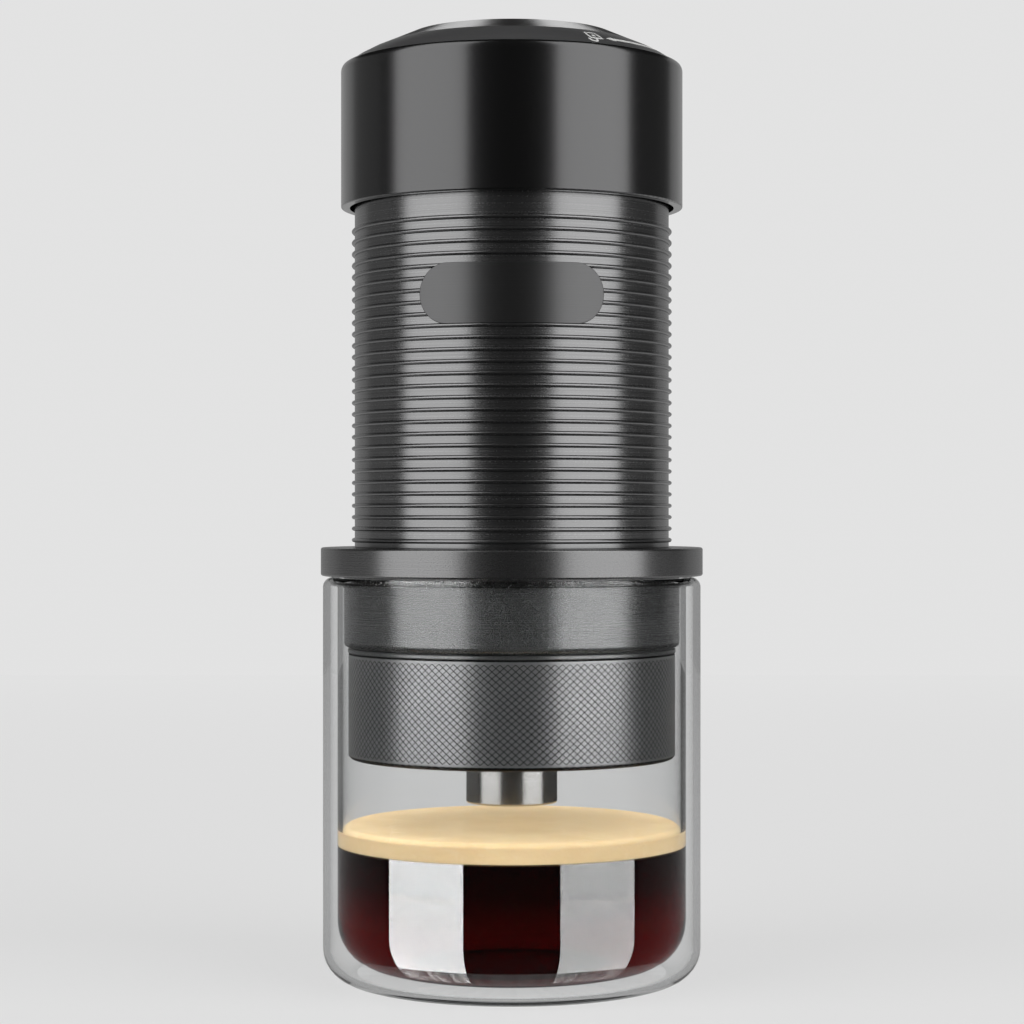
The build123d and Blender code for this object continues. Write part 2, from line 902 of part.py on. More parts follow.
def top_disc():
    """Polished hollow button with a broad bevel."""
    roof = disc_top - disc_roof
    inside = disc_plug_radius - disc_plug_wall
    return turned(
        (inside, cap_top),
        (disc_plug_radius, cap_top),
        (disc_plug_radius, indicator_top),
        (disc_radius, indicator_top),
        (disc_top_radius, disc_top),
        (0, disc_top),
        (0, roof),
        (inside, roof),
    )


# ---------------------------------------------------------------- export

pieces = [
    cup_outer_glass,
    cup_inner_glass,
    coffee,
    crema,
    cup_flange,
    brew_head,
    tank_seal,
    collar_seal,
    group_gasket,
    shower_screen,
    water_tank,
    ribbed_sleeve,
    front_plate,
    filter_basket,
    portafilter,
    spout,
    spout_washer,
    spout_nut,
    pump_housing,
    housing_o_ring,
    pump_cylinder,
    rod_guide,
    rod_wiper,
    valve_block,
    outlet_o_ring,
    inlet_flap,
    valve_seat,
    outlet_ball,
    outlet_spring,
    return_spring,
    piston,
    piston_seals,
    piston_rod,
    shoulder_screw,
    cap_shell,
    lock_core,
    core_screws,
    indicator_ring,
    top_disc,
]

os.makedirs("parts", exist_ok=True)
for piece in pieces:
    export_step(piece(), f"parts/{piece.__name__}.step")
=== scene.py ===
import math

import bmesh
import bpy
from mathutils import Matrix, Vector


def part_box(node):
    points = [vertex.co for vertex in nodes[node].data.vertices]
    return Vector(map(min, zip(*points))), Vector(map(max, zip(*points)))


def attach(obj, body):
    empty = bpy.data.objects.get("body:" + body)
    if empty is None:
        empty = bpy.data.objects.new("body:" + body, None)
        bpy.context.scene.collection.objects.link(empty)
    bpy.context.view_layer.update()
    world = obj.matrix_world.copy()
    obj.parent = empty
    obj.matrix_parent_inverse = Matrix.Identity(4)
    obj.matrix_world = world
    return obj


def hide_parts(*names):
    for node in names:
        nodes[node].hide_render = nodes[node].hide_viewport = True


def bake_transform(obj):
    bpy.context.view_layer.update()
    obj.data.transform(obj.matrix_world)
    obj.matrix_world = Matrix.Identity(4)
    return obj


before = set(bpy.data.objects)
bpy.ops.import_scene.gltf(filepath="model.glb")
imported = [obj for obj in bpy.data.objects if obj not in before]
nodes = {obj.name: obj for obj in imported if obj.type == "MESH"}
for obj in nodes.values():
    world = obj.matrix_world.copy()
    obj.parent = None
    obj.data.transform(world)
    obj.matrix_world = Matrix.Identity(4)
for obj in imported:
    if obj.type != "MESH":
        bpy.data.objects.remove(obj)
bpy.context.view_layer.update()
MM = 0.001

# ---------- camera
# A level camera half a metre in front of the maker, at the height of its lower beads.
# The long lens keeps the turned pieces nearly free of perspective.
CAMERA_DISTANCE = 492.9
CAMERA_HEIGHT = 85.8
FOCAL_LENGTH = 94.32
SENSOR_WIDTH = 36.0
SHIFT_DOWN = -0.00146
SHIFT_SIDE = 0.00024


def placed(name, data):
    """A new object in the scene."""
    item = bpy.data.objects.new(name, data)
    bpy.context.scene.collection.objects.link(item)
    return item


camera_data = bpy.data.cameras.new("product_camera")
camera_data.sensor_fit = "HORIZONTAL"
camera_data.sensor_width = SENSOR_WIDTH
camera_data.lens = FOCAL_LENGTH
camera_data.shift_x = SHIFT_SIDE
camera_data.shift_y = SHIFT_DOWN
camera_data.clip_start = 0.01
camera_data.clip_end = 20.0
camera = placed("product_camera", camera_data)
camera.location = (0.0, -CAMERA_DISTANCE * MM, CAMERA_HEIGHT * MM)
camera.rotation_euler = (math.radians(90.0), 0.0, 0.0)
bpy.context.scene.camera = camera
bpy.context.scene.view_settings.view_transform = "Standard"

# ---------- table and backdrop
# A pale table top, and behind it a pale paper backdrop on a wide cove.
# Neither is part of the maker.
WHITE = (1.0, 1.0, 1.0, 1.0)
PALE_GREY = (0.76, 0.76, 0.76, 1.0)
PAPER_GREY = (0.02, 0.02, 0.02, 1.0)
TABLE_GREY = (0.22, 0.22, 0.22, 1.0)
TABLE_GLOW = (0.60, 0.60, 0.60, 1.0)
TABLE_FAR_GLOW = (0.715, 0.715, 0.715, 1.0)
MIRROR_GREY = (0.34, 0.34, 0.34, 1.0)
LIFT_NEAR = 0.05
LIFT_FAR = 0.85
MIRROR_FROM = -0.04     # reflections show the table from here on, in metres behind the maker's axis
GLASS_FACES = 5.5       # a reflection from the coffee passes five or six faces of glass, one from metal more
TABLE_HALF_WIDTH = 1.6
TABLE_FRONT = -1.2
COVE_START = 0.9
COVE_RADIUS = 0.5
COVE_STEPS = 24
BACKDROP_TOP = 0.9


def new_material(name):
    """An empty node material and its tree."""
    material = bpy.data.materials.new(name)
    material.use_nodes = True
    material.node_tree.nodes.clear()
    return material, material.node_tree


def put(tree, kind, inputs=None, **settings):
    """A node with its settings, and its inputs given as numbers, colours or other nodes' outputs."""
    node = tree.nodes.new(kind if "Node" in kind else "ShaderNode" + kind)
    for key, value in settings.items():
        setattr(node, key, value)
    for key, value in (inputs or {}).items():
        socket = node.inputs[key]
        if isinstance(value, bpy.types.NodeSocket):
            tree.links.new(value, socket)
        else:
            socket.default_value = value
    return node


def got(tree, kind, inputs=None, **settings):
    """The first output of such a node."""
    return put(tree, kind, inputs, **settings).outputs[0]


def sums(tree, operation, *values):
    """One step of arithmetic."""
    return got(tree, "Math", dict(enumerate(values)), operation=operation)


def spread(tree, value, low=0.0, high=1.0, start=0.3, end=0.7):
    """A value between start and end, which noise rarely leaves, brought to the span from low to high."""
    span = {"Value": value, "From Min": start, "From Max": end, "To Min": low, "To Max": high}
    return got(tree, "MapRange", span)


def between(tree, share, *tones):
    """A tone between two, which are colours or other nodes' outputs."""
    low, high = (tone if isinstance(tone, bpy.types.NodeSocket) else tone[:3] + (1.0,) for tone in tones)
    return put(tree, "Mix", {0: share, 6: low, 7: high}, data_type="RGBA").outputs[2]


def finished(material, surface, volume=None):
    """Closes a material."""
    ending = put(material.node_tree, "OutputMaterial", {"Surface": surface})
    if volume:
        material.node_tree.links.new(volume, ending.inputs["Volume"])
    return material


def here(tree):
    """Where a point of a piece is, in metres."""
    return put(tree, "TexCoord").outputs["Object"]


def faces_passed(tree):
    """How many faces of glass the look has gone through."""
    return put(tree, "LightPath").outputs["Transmission Depth"]


def looks_at(tree):
    """1 for the camera's look, directly or through glass, and 0 for lamp light; and 1 for a reflection."""
    ray = put(tree, "LightPath").outputs
    seen = sums(tree, "MAXIMUM", ray["Is Camera Ray"], ray["Is Transmission Ray"])
    return seen, sums(tree, "GREATER_THAN", ray["Glossy Depth"], 0.5)


def stage_paint(name, lit, near, far, mirror_from=None):
    """Matt pale paint, lifted to the backdrop's tone where it is looked at, with the shadows kept.
    In reflections it shows only behind the maker, since the room in front of it is dark."""
    material, tree = new_material(name)
    seen, mirrored = looks_at(tree)
    away = put(tree, "SeparateXYZ", {0: here(tree)}).outputs["Y"]
    glow = between(tree, spread(tree, away, 0.0, 1.0, LIFT_NEAR, LIFT_FAR), near, far)
    glow = between(tree, mirrored, glow, MIRROR_GREY)
    matt = got(tree, "BsdfDiffuse", {"Color": lit})
    lifted = got(tree, "AddShader", {0: matt, 1: got(tree, "Emission", {"Color": glow, "Strength": 1.0})})
    shown = got(tree, "MixShader", {0: sums(tree, "MAXIMUM", seen, mirrored), 1: matt, 2: lifted})
    if mirror_from is not None:
        front = sums(tree, "LESS_THAN", away, mirror_from)
        deep = sums(tree, "GREATER_THAN", faces_passed(tree), GLASS_FACES)
        hidden = sums(tree, "MULTIPLY", mirrored, sums(tree, "MAXIMUM", front, deep))
        shown = got(tree, "MixShader", {0: hidden, 1: shown, 2: got(tree, "BsdfTransparent")})
    return finished(material, shown)


def sheet_mesh(name, corners, faces):
    """A mesh object from corners in metres."""
    mesh = bpy.data.meshes.new(name)
    mesh.from_pydata(corners, [], faces)
    return placed(name, mesh)


def strip_mesh(name, pairs):
    """A strip of faces from each pair of corners to the next."""
    faces = [(2 * k, 2 * k + 1, 2 * k + 3, 2 * k + 2) for k in range(len(pairs) - 1)]
    return sheet_mesh(name, [corner for pair in pairs for corner in pair], faces)


def table_wide(away, height):
    """The two ends of a line across the stage."""
    return (-TABLE_HALF_WIDTH, away, height), (TABLE_HALF_WIDTH, away, height)


table = strip_mesh("table_top", [table_wide(TABLE_FRONT, 0.0), table_wide(COVE_START, 0.0)])
table.data.materials.append(stage_paint("table_paint", TABLE_GREY, TABLE_GLOW, TABLE_FAR_GLOW, MIRROR_FROM))
cove = []
for step in range(COVE_STEPS + 1):
    angle = math.radians(90.0) * step / COVE_STEPS
    cove.append(table_wide(COVE_START + COVE_RADIUS * math.sin(angle), COVE_RADIUS * (1.0 - math.cos(angle))))
cove.append(table_wide(COVE_START + COVE_RADIUS, BACKDROP_TOP))
backdrop = strip_mesh("backdrop", cove)
backdrop.data.materials.append(stage_paint("backdrop_paper", PAPER_GREY, PALE_GREY, PALE_GREY))
table.visible_shadow = backdrop.visible_shadow = False

# ---------- lamps
# Two tall softboxes stand left and right of the camera, and a soft lamp hangs above.
# The room behind the camera is dark, so each turned piece shows two bright bands.
SOFTBOX_DISTANCE = 0.60
SOFTBOX_WIDTH = 0.60
SOFTBOX_ANGLE = 55.5
SOFTBOX_LOW = -0.045
SOFTBOX_HIGH = 1.30
LEFT_RADIANCE = 1.80
RIGHT_RADIANCE = 1.95
TOP_RADIANCE = 1.6
TOP_SIZE = 0.7
TOP_PLACE = (0.0, -0.1, 1.3)
TOP_AIM = (0.0, 0.0, 0.1)
ROOM_STRENGTH = 0.018
# A strip of lighter wall left and right behind the maker, which only reflections show. Its limits are parts
# of a look's direction: to the right, away and up.
LEFT_WALL = 0.17
RIGHT_WALL = 0.075
WALL_MIDDLE = (-0.2, 0.2)
WALL_AWAY = (0.06, 0.16)
WALL_FOOT = (-0.13, -0.10)
WALL_HEAD = (0.40, 0.30)


def softbox(name, radiance, width, height, place, aim):
    """A rectangular soft lamp that faces a point, with its own brightness given rather than its power."""
    lamp_data = bpy.data.lights.new(name, "AREA")
    lamp_data.shape = "RECTANGLE"
    lamp_data.size = width
    lamp_data.size_y = height
    lamp_data.energy = radiance * math.pi * width * height
    lamp = placed(name, lamp_data)
    towards = [aim[k] - place[k] for k in range(3)]
    lamp.location = place
    turn = math.atan2(towards[1], towards[0]) - math.radians(90.0)
    fall = math.atan2(math.hypot(towards[0], towards[1]), -towards[2])
    lamp.rotation_euler = (fall, 0.0, turn)
    lamp.visible_camera = False
    return lamp


angle = math.radians(SOFTBOX_ANGLE)
middle = (SOFTBOX_LOW + SOFTBOX_HIGH) / 2.0
tall = SOFTBOX_HIGH - SOFTBOX_LOW
for label, side, radiance in (("left", -1.0, LEFT_RADIANCE), ("right", 1.0, RIGHT_RADIANCE)):
    place = (side * SOFTBOX_DISTANCE * math.sin(angle), -SOFTBOX_DISTANCE * math.cos(angle), middle)
    softbox(f"softbox_{label}", radiance, SOFTBOX_WIDTH, tall, place, (0.0, 0.0, middle))
top_lamp = softbox("top_lamp", TOP_RADIANCE, TOP_SIZE, TOP_SIZE, TOP_PLACE, TOP_AIM)
top_lamp.visible_glossy = False

world = bpy.data.worlds.new("room")
world.use_nodes = True
tree = world.node_tree
tree.nodes.clear()
seen, wall = looks_at(tree)
straight = got(tree, "Math", {0: seen, 1: wall}, operation="SUBTRACT", use_clamp=True)
way = put(tree, "SeparateXYZ", {0: put(tree, "TexCoord").outputs["Generated"]}).outputs
for axis, span in (("Y", WALL_AWAY), ("Z", WALL_FOOT), ("Z", WALL_HEAD)):
    wall = sums(tree, "MULTIPLY", wall, spread(tree, way[axis], 0.0, 1.0, *span))
wall_light = spread(tree, way["X"], LEFT_WALL, RIGHT_WALL, *WALL_MIDDLE)
dark = got(tree, "Background", {"Color": WHITE, "Strength": ROOM_STRENGTH})
side_wall = got(tree, "Background", {"Color": WHITE, "Strength": wall_light})
pale = got(tree, "Background", {"Color": PALE_GREY, "Strength": 1.0})
room = got(tree, "MixShader", {0: wall, 1: dark, 2: side_wall})
put(tree, "OutputWorld", {"Surface": got(tree, "MixShader", {0: straight, 1: room, 2: pale})})
bpy.context.scene.world = world

# ---------- glass cup
# Two walls of borosilicate glass, blown one inside the other and melted together at the rim,
# with sealed air between them. It is one piece of glass, so it is one mesh with a hollow inside.
CUP_RADIUS = 34.6
CUP_HEIGHT = 73.6
CUP_FOOT_CORNER = 6.0
CUP_OUTER_WALL = 1.3
CUP_GAP = 1.35
CUP_INNER_WALL = 0.9
CUP_BORE_CORNER = 8.0
CUP_FLOOR_GAP = 0.9
HAIR = 0.001    # keeps the two arcs of a rim from meeting in one point
TURN_STEPS = 192
ARC_STEP = math.radians(12.0)       # longest step along a rounded corner
HOLD = 0.06     # a ring close to each rounded corner keeps the long faces even


def rounded(points):
    """A closed outline of (radius, height, corner radius) in millimetres, its corners turned into arcs."""
    outline = []
    count = len(points)
    for k, (r, z, corner) in enumerate(points):
        before, after = points[k - 1], points[(k + 1) % count]
        inward = (before[0] - r, before[1] - z)
        outward = (after[0] - r, after[1] - z)
        long_in, long_out = math.hypot(*inward), math.hypot(*outward)
        if corner <= 0.0:
            outline.append((r, z))
            continue
        inward = (inward[0] / long_in, inward[1] / long_in)
        outward = (outward[0] / long_out, outward[1] / long_out)
        opening = math.acos(max(-1.0, min(1.0, inward[0] * outward[0] + inward[1] * outward[1])))
        back = corner / math.tan(opening / 2.0)
        middle = corner / math.sin(opening / 2.0)
        bisector = (inward[0] + outward[0], inward[1] + outward[1])
        size = math.hypot(*bisector)
        centre = (r + bisector[0] / size * middle, z + bisector[1] / size * middle)
        first = (r + inward[0] * back, z + inward[1] * back)
        last = (r + outward[0] * back, z + outward[1] * back)
        start = math.atan2(first[1] - centre[1], first[0] - centre[0])
        sweep = math.atan2(last[1] - centre[1], last[0] - centre[0]) - start
        sweep = (sweep + math.pi) % (2.0 * math.pi) - math.pi
        steps = max(3, math.ceil(abs(sweep) / ARC_STEP))
        if long_in > back + 3.0 * HOLD:
            outline.append((first[0] + inward[0] * HOLD, first[1] + inward[1] * HOLD))
        for step in range(steps + 1):
            angle = start + sweep * step / steps
            outline.append((centre[0] + corner * math.cos(angle), centre[1] + corner * math.sin(angle)))
        if long_out > back + 3.0 * HOLD:
            outline.append((last[0] + outward[0] * HOLD, last[1] + outward[1] * HOLD))
    return outline


def turned(name, points, steps=TURN_STEPS, hollow=()):
    """A closed piece turned about the Z axis from points as above; a hollow is sealed inside it."""
    corners, faces = [], []
    for line, inside in ((rounded(points), False), (rounded(hollow), True)):
        area = sum(a[0] * b[1] - b[0] * a[1] for a, b in zip(line, line[1:] + line[:1]))
        if (area < 0.0) != inside:
            line = line[::-1]
        rings = []
        for r, z in line:
            if r < 1e-6:
                rings.append([len(corners)] * steps)
                corners.append((0.0, 0.0, z * MM))
                continue
            rings.append(list(range(len(corners), len(corners) + steps)))
            for step in range(steps):
                angle = 2.0 * math.pi * step / steps
                corners.append((r * MM * math.cos(angle), r * MM * math.sin(angle), z * MM))
        for low, high in zip(rings, rings[1:] + rings[:1]):
            if low[0] == low[1] and high[0] == high[1]:
                continue
            for step in range(steps):
                after = (step + 1) % steps
                face = [low[step], low[after], high[after], high[step]]
                faces.append([v for k, v in enumerate(face) if v != face[k - 1]])
    piece = sheet_mesh(name, corners, faces)
    smooth(piece)
    return piece


def smooth(piece, limit=32.0):
    """Even shading, but for edges sharper than the limit."""
    piece.data.shade_smooth()
    piece.data.set_sharp_from_angle(angle=math.radians(limit))


def give(piece, body, slot, material, *replaced):
    """Hands a finished piece its material, the body it moves with and the solids it stands for."""
    if material:
        piece.data.materials.append(material)
    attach(piece, body)
    if replaced:
        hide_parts(*replaced)


def grain(tree, scale, detail=3.0):
    """Even noise, a given number of grains to the metre."""
    return got(tree, "TexNoise", {"Vector": here(tree), "Scale": scale, "Detail": detail, "Roughness": 0.55})


def bump(tree, height, distance, strength=1.0):
    """Fine relief of a depth in metres."""
    return got(tree, "Bump", {"Height": height, "Distance": distance, "Strength": strength})


def blown_glass(name):
    """Clear glass with the slight waves of blowing; lamps shine through it."""
    material, tree = new_material(name)
    glass = got(tree, "BsdfPrincipled", {
        "Base Color": (0.962, 0.964, 0.964, 1.0), "IOR": 1.1, "Transmission Weight": 1.0,
        "Roughness": spread(tree, grain(tree, 160.0), 0.0, 0.01),
        "Normal": bump(tree, grain(tree, 45.0, 1.0), 0.00002, 0.6)})
    clear = got(tree, "BsdfTransparent", {"Color": (0.94, 0.95, 0.95, 1.0)})
    shadow = put(tree, "LightPath").outputs["Is Shadow Ray"]
    body = got(tree, "VolumeAbsorption", {"Color": (0.30, 0.31, 0.31, 1.0), "Density": 52.0})
    return finished(material, got(tree, "MixShader", {0: shadow, 1: glass, 2: clear}), body)


cup_bore = CUP_RADIUS - CUP_OUTER_WALL - CUP_GAP - CUP_INNER_WALL
cup_inner_floor = CUP_OUTER_WALL + CUP_FLOOR_GAP
rim_radius = (CUP_RADIUS - cup_bore) / 2.0
cavity_radius = CUP_RADIUS - CUP_OUTER_WALL
cavity_inside = cup_bore + CUP_INNER_WALL
cavity_top = CUP_HEIGHT - rim_radius + CUP_GAP / 2.0
glass_walls = turned("glass_walls", [
    (0.0, 0.0, 0.0), (CUP_RADIUS, 0.0, CUP_FOOT_CORNER), (CUP_RADIUS, CUP_HEIGHT, rim_radius - HAIR),
    (cup_bore, CUP_HEIGHT, rim_radius - HAIR),
    (cup_bore, cup_inner_floor + CUP_INNER_WALL, CUP_BORE_CORNER),
    (0.0, cup_inner_floor + CUP_INNER_WALL, 0.0)], hollow=[
    (0.0, CUP_OUTER_WALL, 0.0), (cavity_radius, CUP_OUTER_WALL, CUP_FOOT_CORNER - CUP_OUTER_WALL),
    (cavity_radius, cavity_top, CUP_GAP / 2.0 - HAIR), (cavity_inside, cavity_top, CUP_GAP / 2.0 - HAIR),
    (cavity_inside, cup_inner_floor, CUP_BORE_CORNER + CUP_INNER_WALL), (0.0, cup_inner_floor, 0.0)])
give(glass_walls, "cup", "clear_glass", blown_glass("cup_glass"), "cup_outer_glass", "cup_inner_glass")

# ---------- coffee and crema
# A short double espresso fills the bottom of the cup. The dark liquid lets a red glow through where it is
# thin, and its tint is also painted lighter and redder towards its foot as a painted glow. A firm hazelnut
# crema floats on it.
COFFEE_TOP = 24.9
CREMA_LOW = 24.4
CREMA_TOP = 28.4
CREMA_EDGE = 1.1
WETTING = 0.04      # how far the liquid reaches into the glass, so that no air shows between them


def espresso(name):
    """Coffee: it swallows green and blue within a few millimetres; its tint is painted lighter and redder low
    down, towards its foot, as a painted glow, and is dark above.
    """
    material, tree = new_material(name)
    height = put(tree, "SeparateXYZ", {0: here(tree)}).outputs["Z"]
    # painted glow: the tint is lighter and redder low down, where light shines through the thin coffee at its
    # foot
    tone = between(tree, spread(tree, height, 0.0, 1.0, 0.007, 0.019), (1.0, 0.62, 0.45), (0.06, 0.05, 0.045))
    liquid = got(tree, "BsdfPrincipled", {
        "Base Color": tone, "IOR": 1.12, "Transmission Weight": 1.0,
        "Roughness": spread(tree, grain(tree, 300.0), 0.0, 0.02), "Coat Weight": 1.0, "Coat IOR": 2.0,
        "Coat Roughness": 0.01, "Normal": bump(tree, grain(tree, 60.0, 1.0), 0.00001, 0.5)})
    body = got(tree, "VolumeAbsorption", {"Color": (0.885, 0.22, 0.05, 1.0), "Density": 420.0})
    return finished(material, liquid, body)


def crema_foam(name):
    """Fine foam: hazelnut with paler and darker flecks and tiny bubbles."""
    material, tree = new_material(name)
    flecks = grain(tree, 900.0, 4.0)
    tone = between(tree, spread(tree, grain(tree, 70.0, 5.0)), (0.75, 0.54, 0.29), (0.85, 0.64, 0.37))
    tone = between(tree, spread(tree, flecks, 0.0, 0.5, 0.55, 0.8), tone, (0.90, 0.74, 0.50))
    bubbles = got(tree, "TexVoronoi", {"Vector": here(tree), "Scale": 1600.0})
    return finished(material, got(tree, "BsdfPrincipled", {
        "Base Color": tone, "Roughness": spread(tree, flecks, 0.60, 0.78), "Subsurface Weight": 0.25,
        "Subsurface Radius": (1.0, 0.6, 0.3), "Subsurface Scale": 0.0015, "Specular IOR Level": 0.15,
        "Normal": bump(tree, bubbles, 0.00008, 0.35)}))


coffee_radius = cup_bore + WETTING
coffee_floor = cup_inner_floor + CUP_INNER_WALL - WETTING
coffee_corner = CUP_BORE_CORNER + WETTING
coffee = turned("espresso", [
    (0.0, coffee_floor, 0.0), (coffee_radius, coffee_floor, coffee_corner), (coffee_radius, COFFEE_TOP, 0.1),
    (0.0, COFFEE_TOP, 0.0)])
give(coffee, "cup", "coffee", espresso("espresso"), "coffee")

LOW_LEFT_RADIANCE = 8.3
LOW_RIGHT_RADIANCE = 4.45
LOW_PANEL_HEIGHT = -0.30
BAND_INNER, BAND_OUTER = 15.6, 43.2     # edges of the coffee's bright bands, in degrees from the front
BAND_TOP = 32.5         # a little above the coffee, so that a band has no gap under the crema
BAND_MIDDLE = 16.0
FOOT_SLOPES = (0.0, 5.0, 10.0, 16.0, 23.0, 30.0, 38.0, 46.0, 54.0, 61.0, 67.0)  # down the foot, in degrees


def mirrored_below(height, slope, azimuth):
    """Where the camera's look meets the panels' level once the coffee has mirrored it."""
    slope, azimuth = math.radians(slope), math.radians(azimuth)
    out = Vector((math.sin(azimuth), -math.cos(azimuth), 0.0))
    normal = out * math.cos(slope) - Vector((0.0, 0.0, math.sin(slope)))
    place = (out * (coffee_radius - coffee_corner) + normal * coffee_corner + Vector((0.0, 0.0, height))) * MM
    look = (place - camera.location).normalized().reflect(normal)
    landed = place + look * (LOW_PANEL_HEIGHT - place.z) / look.z
    return landed.x, landed.y


band_rows = [(BAND_TOP, 0.0), (BAND_MIDDLE, 0.0)]
band_rows += [(coffee_floor + coffee_corner, slope) for slope in FOOT_SLOPES]
panel_edges = [mirrored_below(*row, BAND_INNER) + mirrored_below(*row, BAND_OUTER) for row in band_rows]


def shines_only_on(lamp, *pieces):
    """Keeps a lamp's light to a few pieces."""
    lit = bpy.data.collections.new(lamp.name + "_lit")
    for piece in pieces:
        lit.objects.link(piece)
    lamp.light_linking.receiver_collection = lit


def low_panel(name, side, radiance):
    """A glowing panel under the table, cut so that the coffee's rounded foot shows it as a straight band."""
    panel = strip_mesh(name, [((side * x0, y0, LOW_PANEL_HEIGHT), (side * x1, y1, LOW_PANEL_HEIGHT))
                              for x0, y0, x1, y1 in panel_edges])
    material, tree = new_material(name)
    from_coffee = sums(tree, "COMPARE", faces_passed(tree), GLASS_FACES, 1.0)
    glow = got(tree, "Emission", {"Color": WHITE, "Strength": sums(tree, "MULTIPLY", from_coffee, radiance)})
    panel.data.materials.append(finished(material, glow))
    panel.visible_camera = panel.visible_diffuse = panel.visible_shadow = False
    return panel


for label, side, radiance in (("left", -1.0, LOW_LEFT_RADIANCE), ("right", 1.0, LOW_RIGHT_RADIANCE)):
    shines_only_on(low_panel(f"low_panel_{label}", side, radiance), glass_walls, coffee)

crema = turned("crema_foam", [
    (0.0, CREMA_LOW, 0.0), (coffee_radius, CREMA_LOW, 0.3), (coffee_radius, CREMA_TOP, CREMA_EDGE),
    (0.0, CREMA_TOP, 0.0)])
give(crema, "cup", "crema", crema_foam("crema_foam"), "crema")

CREMA_LAMP_RADIANCE = 3.75
CREMA_LAMP_PLACE = (-0.1, 0.12, 0.6)
CREMA_LAMP_AIM = (0.0, 0.0, 0.03)
crema_lamp = softbox("crema_lamp", CREMA_LAMP_RADIANCE, TOP_SIZE, TOP_SIZE, CREMA_LAMP_PLACE, CREMA_LAMP_AIM)
crema_lamp.visible_glossy = False
shines_only_on(crema_lamp, crema)
crema_lamp.light_linking.blocker_collection = crema_lamp.light_linking.receiver_collection

# ---------- cup flange and brew head
# The flange rests on the cup's rim, and the brew head's collar hangs inside it. Both are turned from
# aluminium and satin black anodised, with their edges broken.
RIM_FACES = 2.0         # a look at the collar through the glass's rim passes two faces of glass, not four
SMOOTH_RINGS = 6400.0   # tool marks to the metre
FAINT = 0.0000005       # their depth in metres
FLANGE_BLACK = (0.187, 0.187, 0.188), (0.196, 0.196, 0.197)
# The collar has the flange's finish, but its tone is painted lighter to make up for the light lost through
# the glass in front of it.
COLLAR_BLACK_PAINTED_LIGHTER = (0.245, 0.245, 0.246), (0.257, 0.257, 0.258)
SATIN = (0.25, 0.29)    # roughness, from the smoothest places to the roughest
# Painted shade: the collar's tone is darkened where it is seen through the glass's rim, so the low panels'
# reflection does not show there.
RIM_PAINTED_SHADE = 0.35      # share of the collar's tone that is left there, where the low panels would show


def off_axis(tree, place):
    """How far a point is from the turning axis."""
    flat = got(tree, "VectorMath", {0: place, 1: (1.0, 1.0, 0.0)}, operation="MULTIPLY")
    return put(tree, "VectorMath", {0: flat}, operation="LENGTH").outputs["Value"]


def anodised(name, dark, light, roughness=(0.24, 0.32), rings=5200.0, depth=0.000004, metallic=0.96,
             lengthwise=0.0, lacquer=0.0, rim_painted_shade=1.0):
    """Black anodised aluminium, turned: fine rings around the axis in its tone, gloss and relief; where
    asked, a painted shade darkens its tone where it is seen through the glass's rim.
    """
    material, tree = new_material(name)
    place = here(tree)
    height = put(tree, "SeparateXYZ", {0: place}).outputs["Z"]
    along = sums(tree, "ADD", off_axis(tree, place), height)
    ring = got(tree, "TexNoise", {"W": along, "Scale": rings, "Detail": 4.0, "Roughness": 0.7},
               noise_dimensions="1D")
    tone = between(tree, spread(tree, ring), dark, light)
    # painted shade: the tone is darkened where the look reaches this piece through the glass's rim
    if rim_painted_shade < 1.0:
        rim_shade_mask = sums(tree, "COMPARE", faces_passed(tree), RIM_FACES, 1.0)
        share = sums(tree, "MULTIPLY_ADD", rim_shade_mask, rim_painted_shade - 1.0, 1.0)
        tone = got(tree, "VectorMath", {0: tone, "Scale": share}, operation="SCALE")
    worn = sums(tree, "MULTIPLY", ring, grain(tree, 5000.0, 2.0))
    metal = put(tree, "BsdfPrincipled", {
        "Base Color": tone, "Metallic": metallic, "Roughness": spread(tree, worn, *roughness, 0.12, 0.40),
        "Normal": bump(tree, ring, depth), "Anisotropic": lengthwise, "Anisotropic Rotation": 0.25,
        "Coat Weight": lacquer, "Coat Roughness": 0.2})
    if lengthwise:
        around = got(tree, "Tangent", direction_type="RADIAL", axis="Z")
        tree.links.new(around, metal.inputs["Tangent"])
    return finished(material, metal.outputs[0])


def coat(material, *names):
    """Gives solids their finish."""
    for name in names:
        for held in nodes[name].material_slots:
            held.material = material


coat(anodised("black_anodised", *FLANGE_BLACK, SATIN, SMOOTH_RINGS, FAINT), "cup_flange")
collar_black = anodised("collar_anodised", *COLLAR_BLACK_PAINTED_LIGHTER, SATIN, SMOOTH_RINGS, FAINT, rim_painted_shade=RIM_PAINTED_SHADE)
coat(collar_black, "brew_head")

# ---------- seals, gasket and shower screen
# Rings of silicone and rubber close the tank, the collar and the basket. The screen is stamped from
# stainless sheet.
SEAL_RADIUS = 30.05
SEAL_BORE = 28.6
SEAL_LOW = 59.95
SEAL_HIGH = 60.95
SEAL_GROOVE = 60.62
SEAL_GROOVE_RADIUS = 29.4


def grained(name, low, high, roughness, patches, fine, detail, depth, **given):
    """A soft or moulded surface: broad patches in its tone, and a fine grain in its gloss and relief."""
    material, tree = new_material(name)
    dust = grain(tree, fine, detail)
    cloud = grain(tree, patches) if patches else dust
    return finished(material, got(tree, "BsdfPrincipled", {
        "Base Color": between(tree, spread(tree, cloud), low, high),
        "Roughness": spread(tree, dust, *roughness), "Normal": bump(tree, dust, depth, 0.5), **given}))


def soft_rubber(name, low, high):
    """Moulded rubber or silicone: matt, with a fine powdery grain."""
    return grained(name, low, high, (0.55, 0.75), 220.0, 1800.0, 4.0, 0.00001, **{"Specular IOR Level": 0.4})


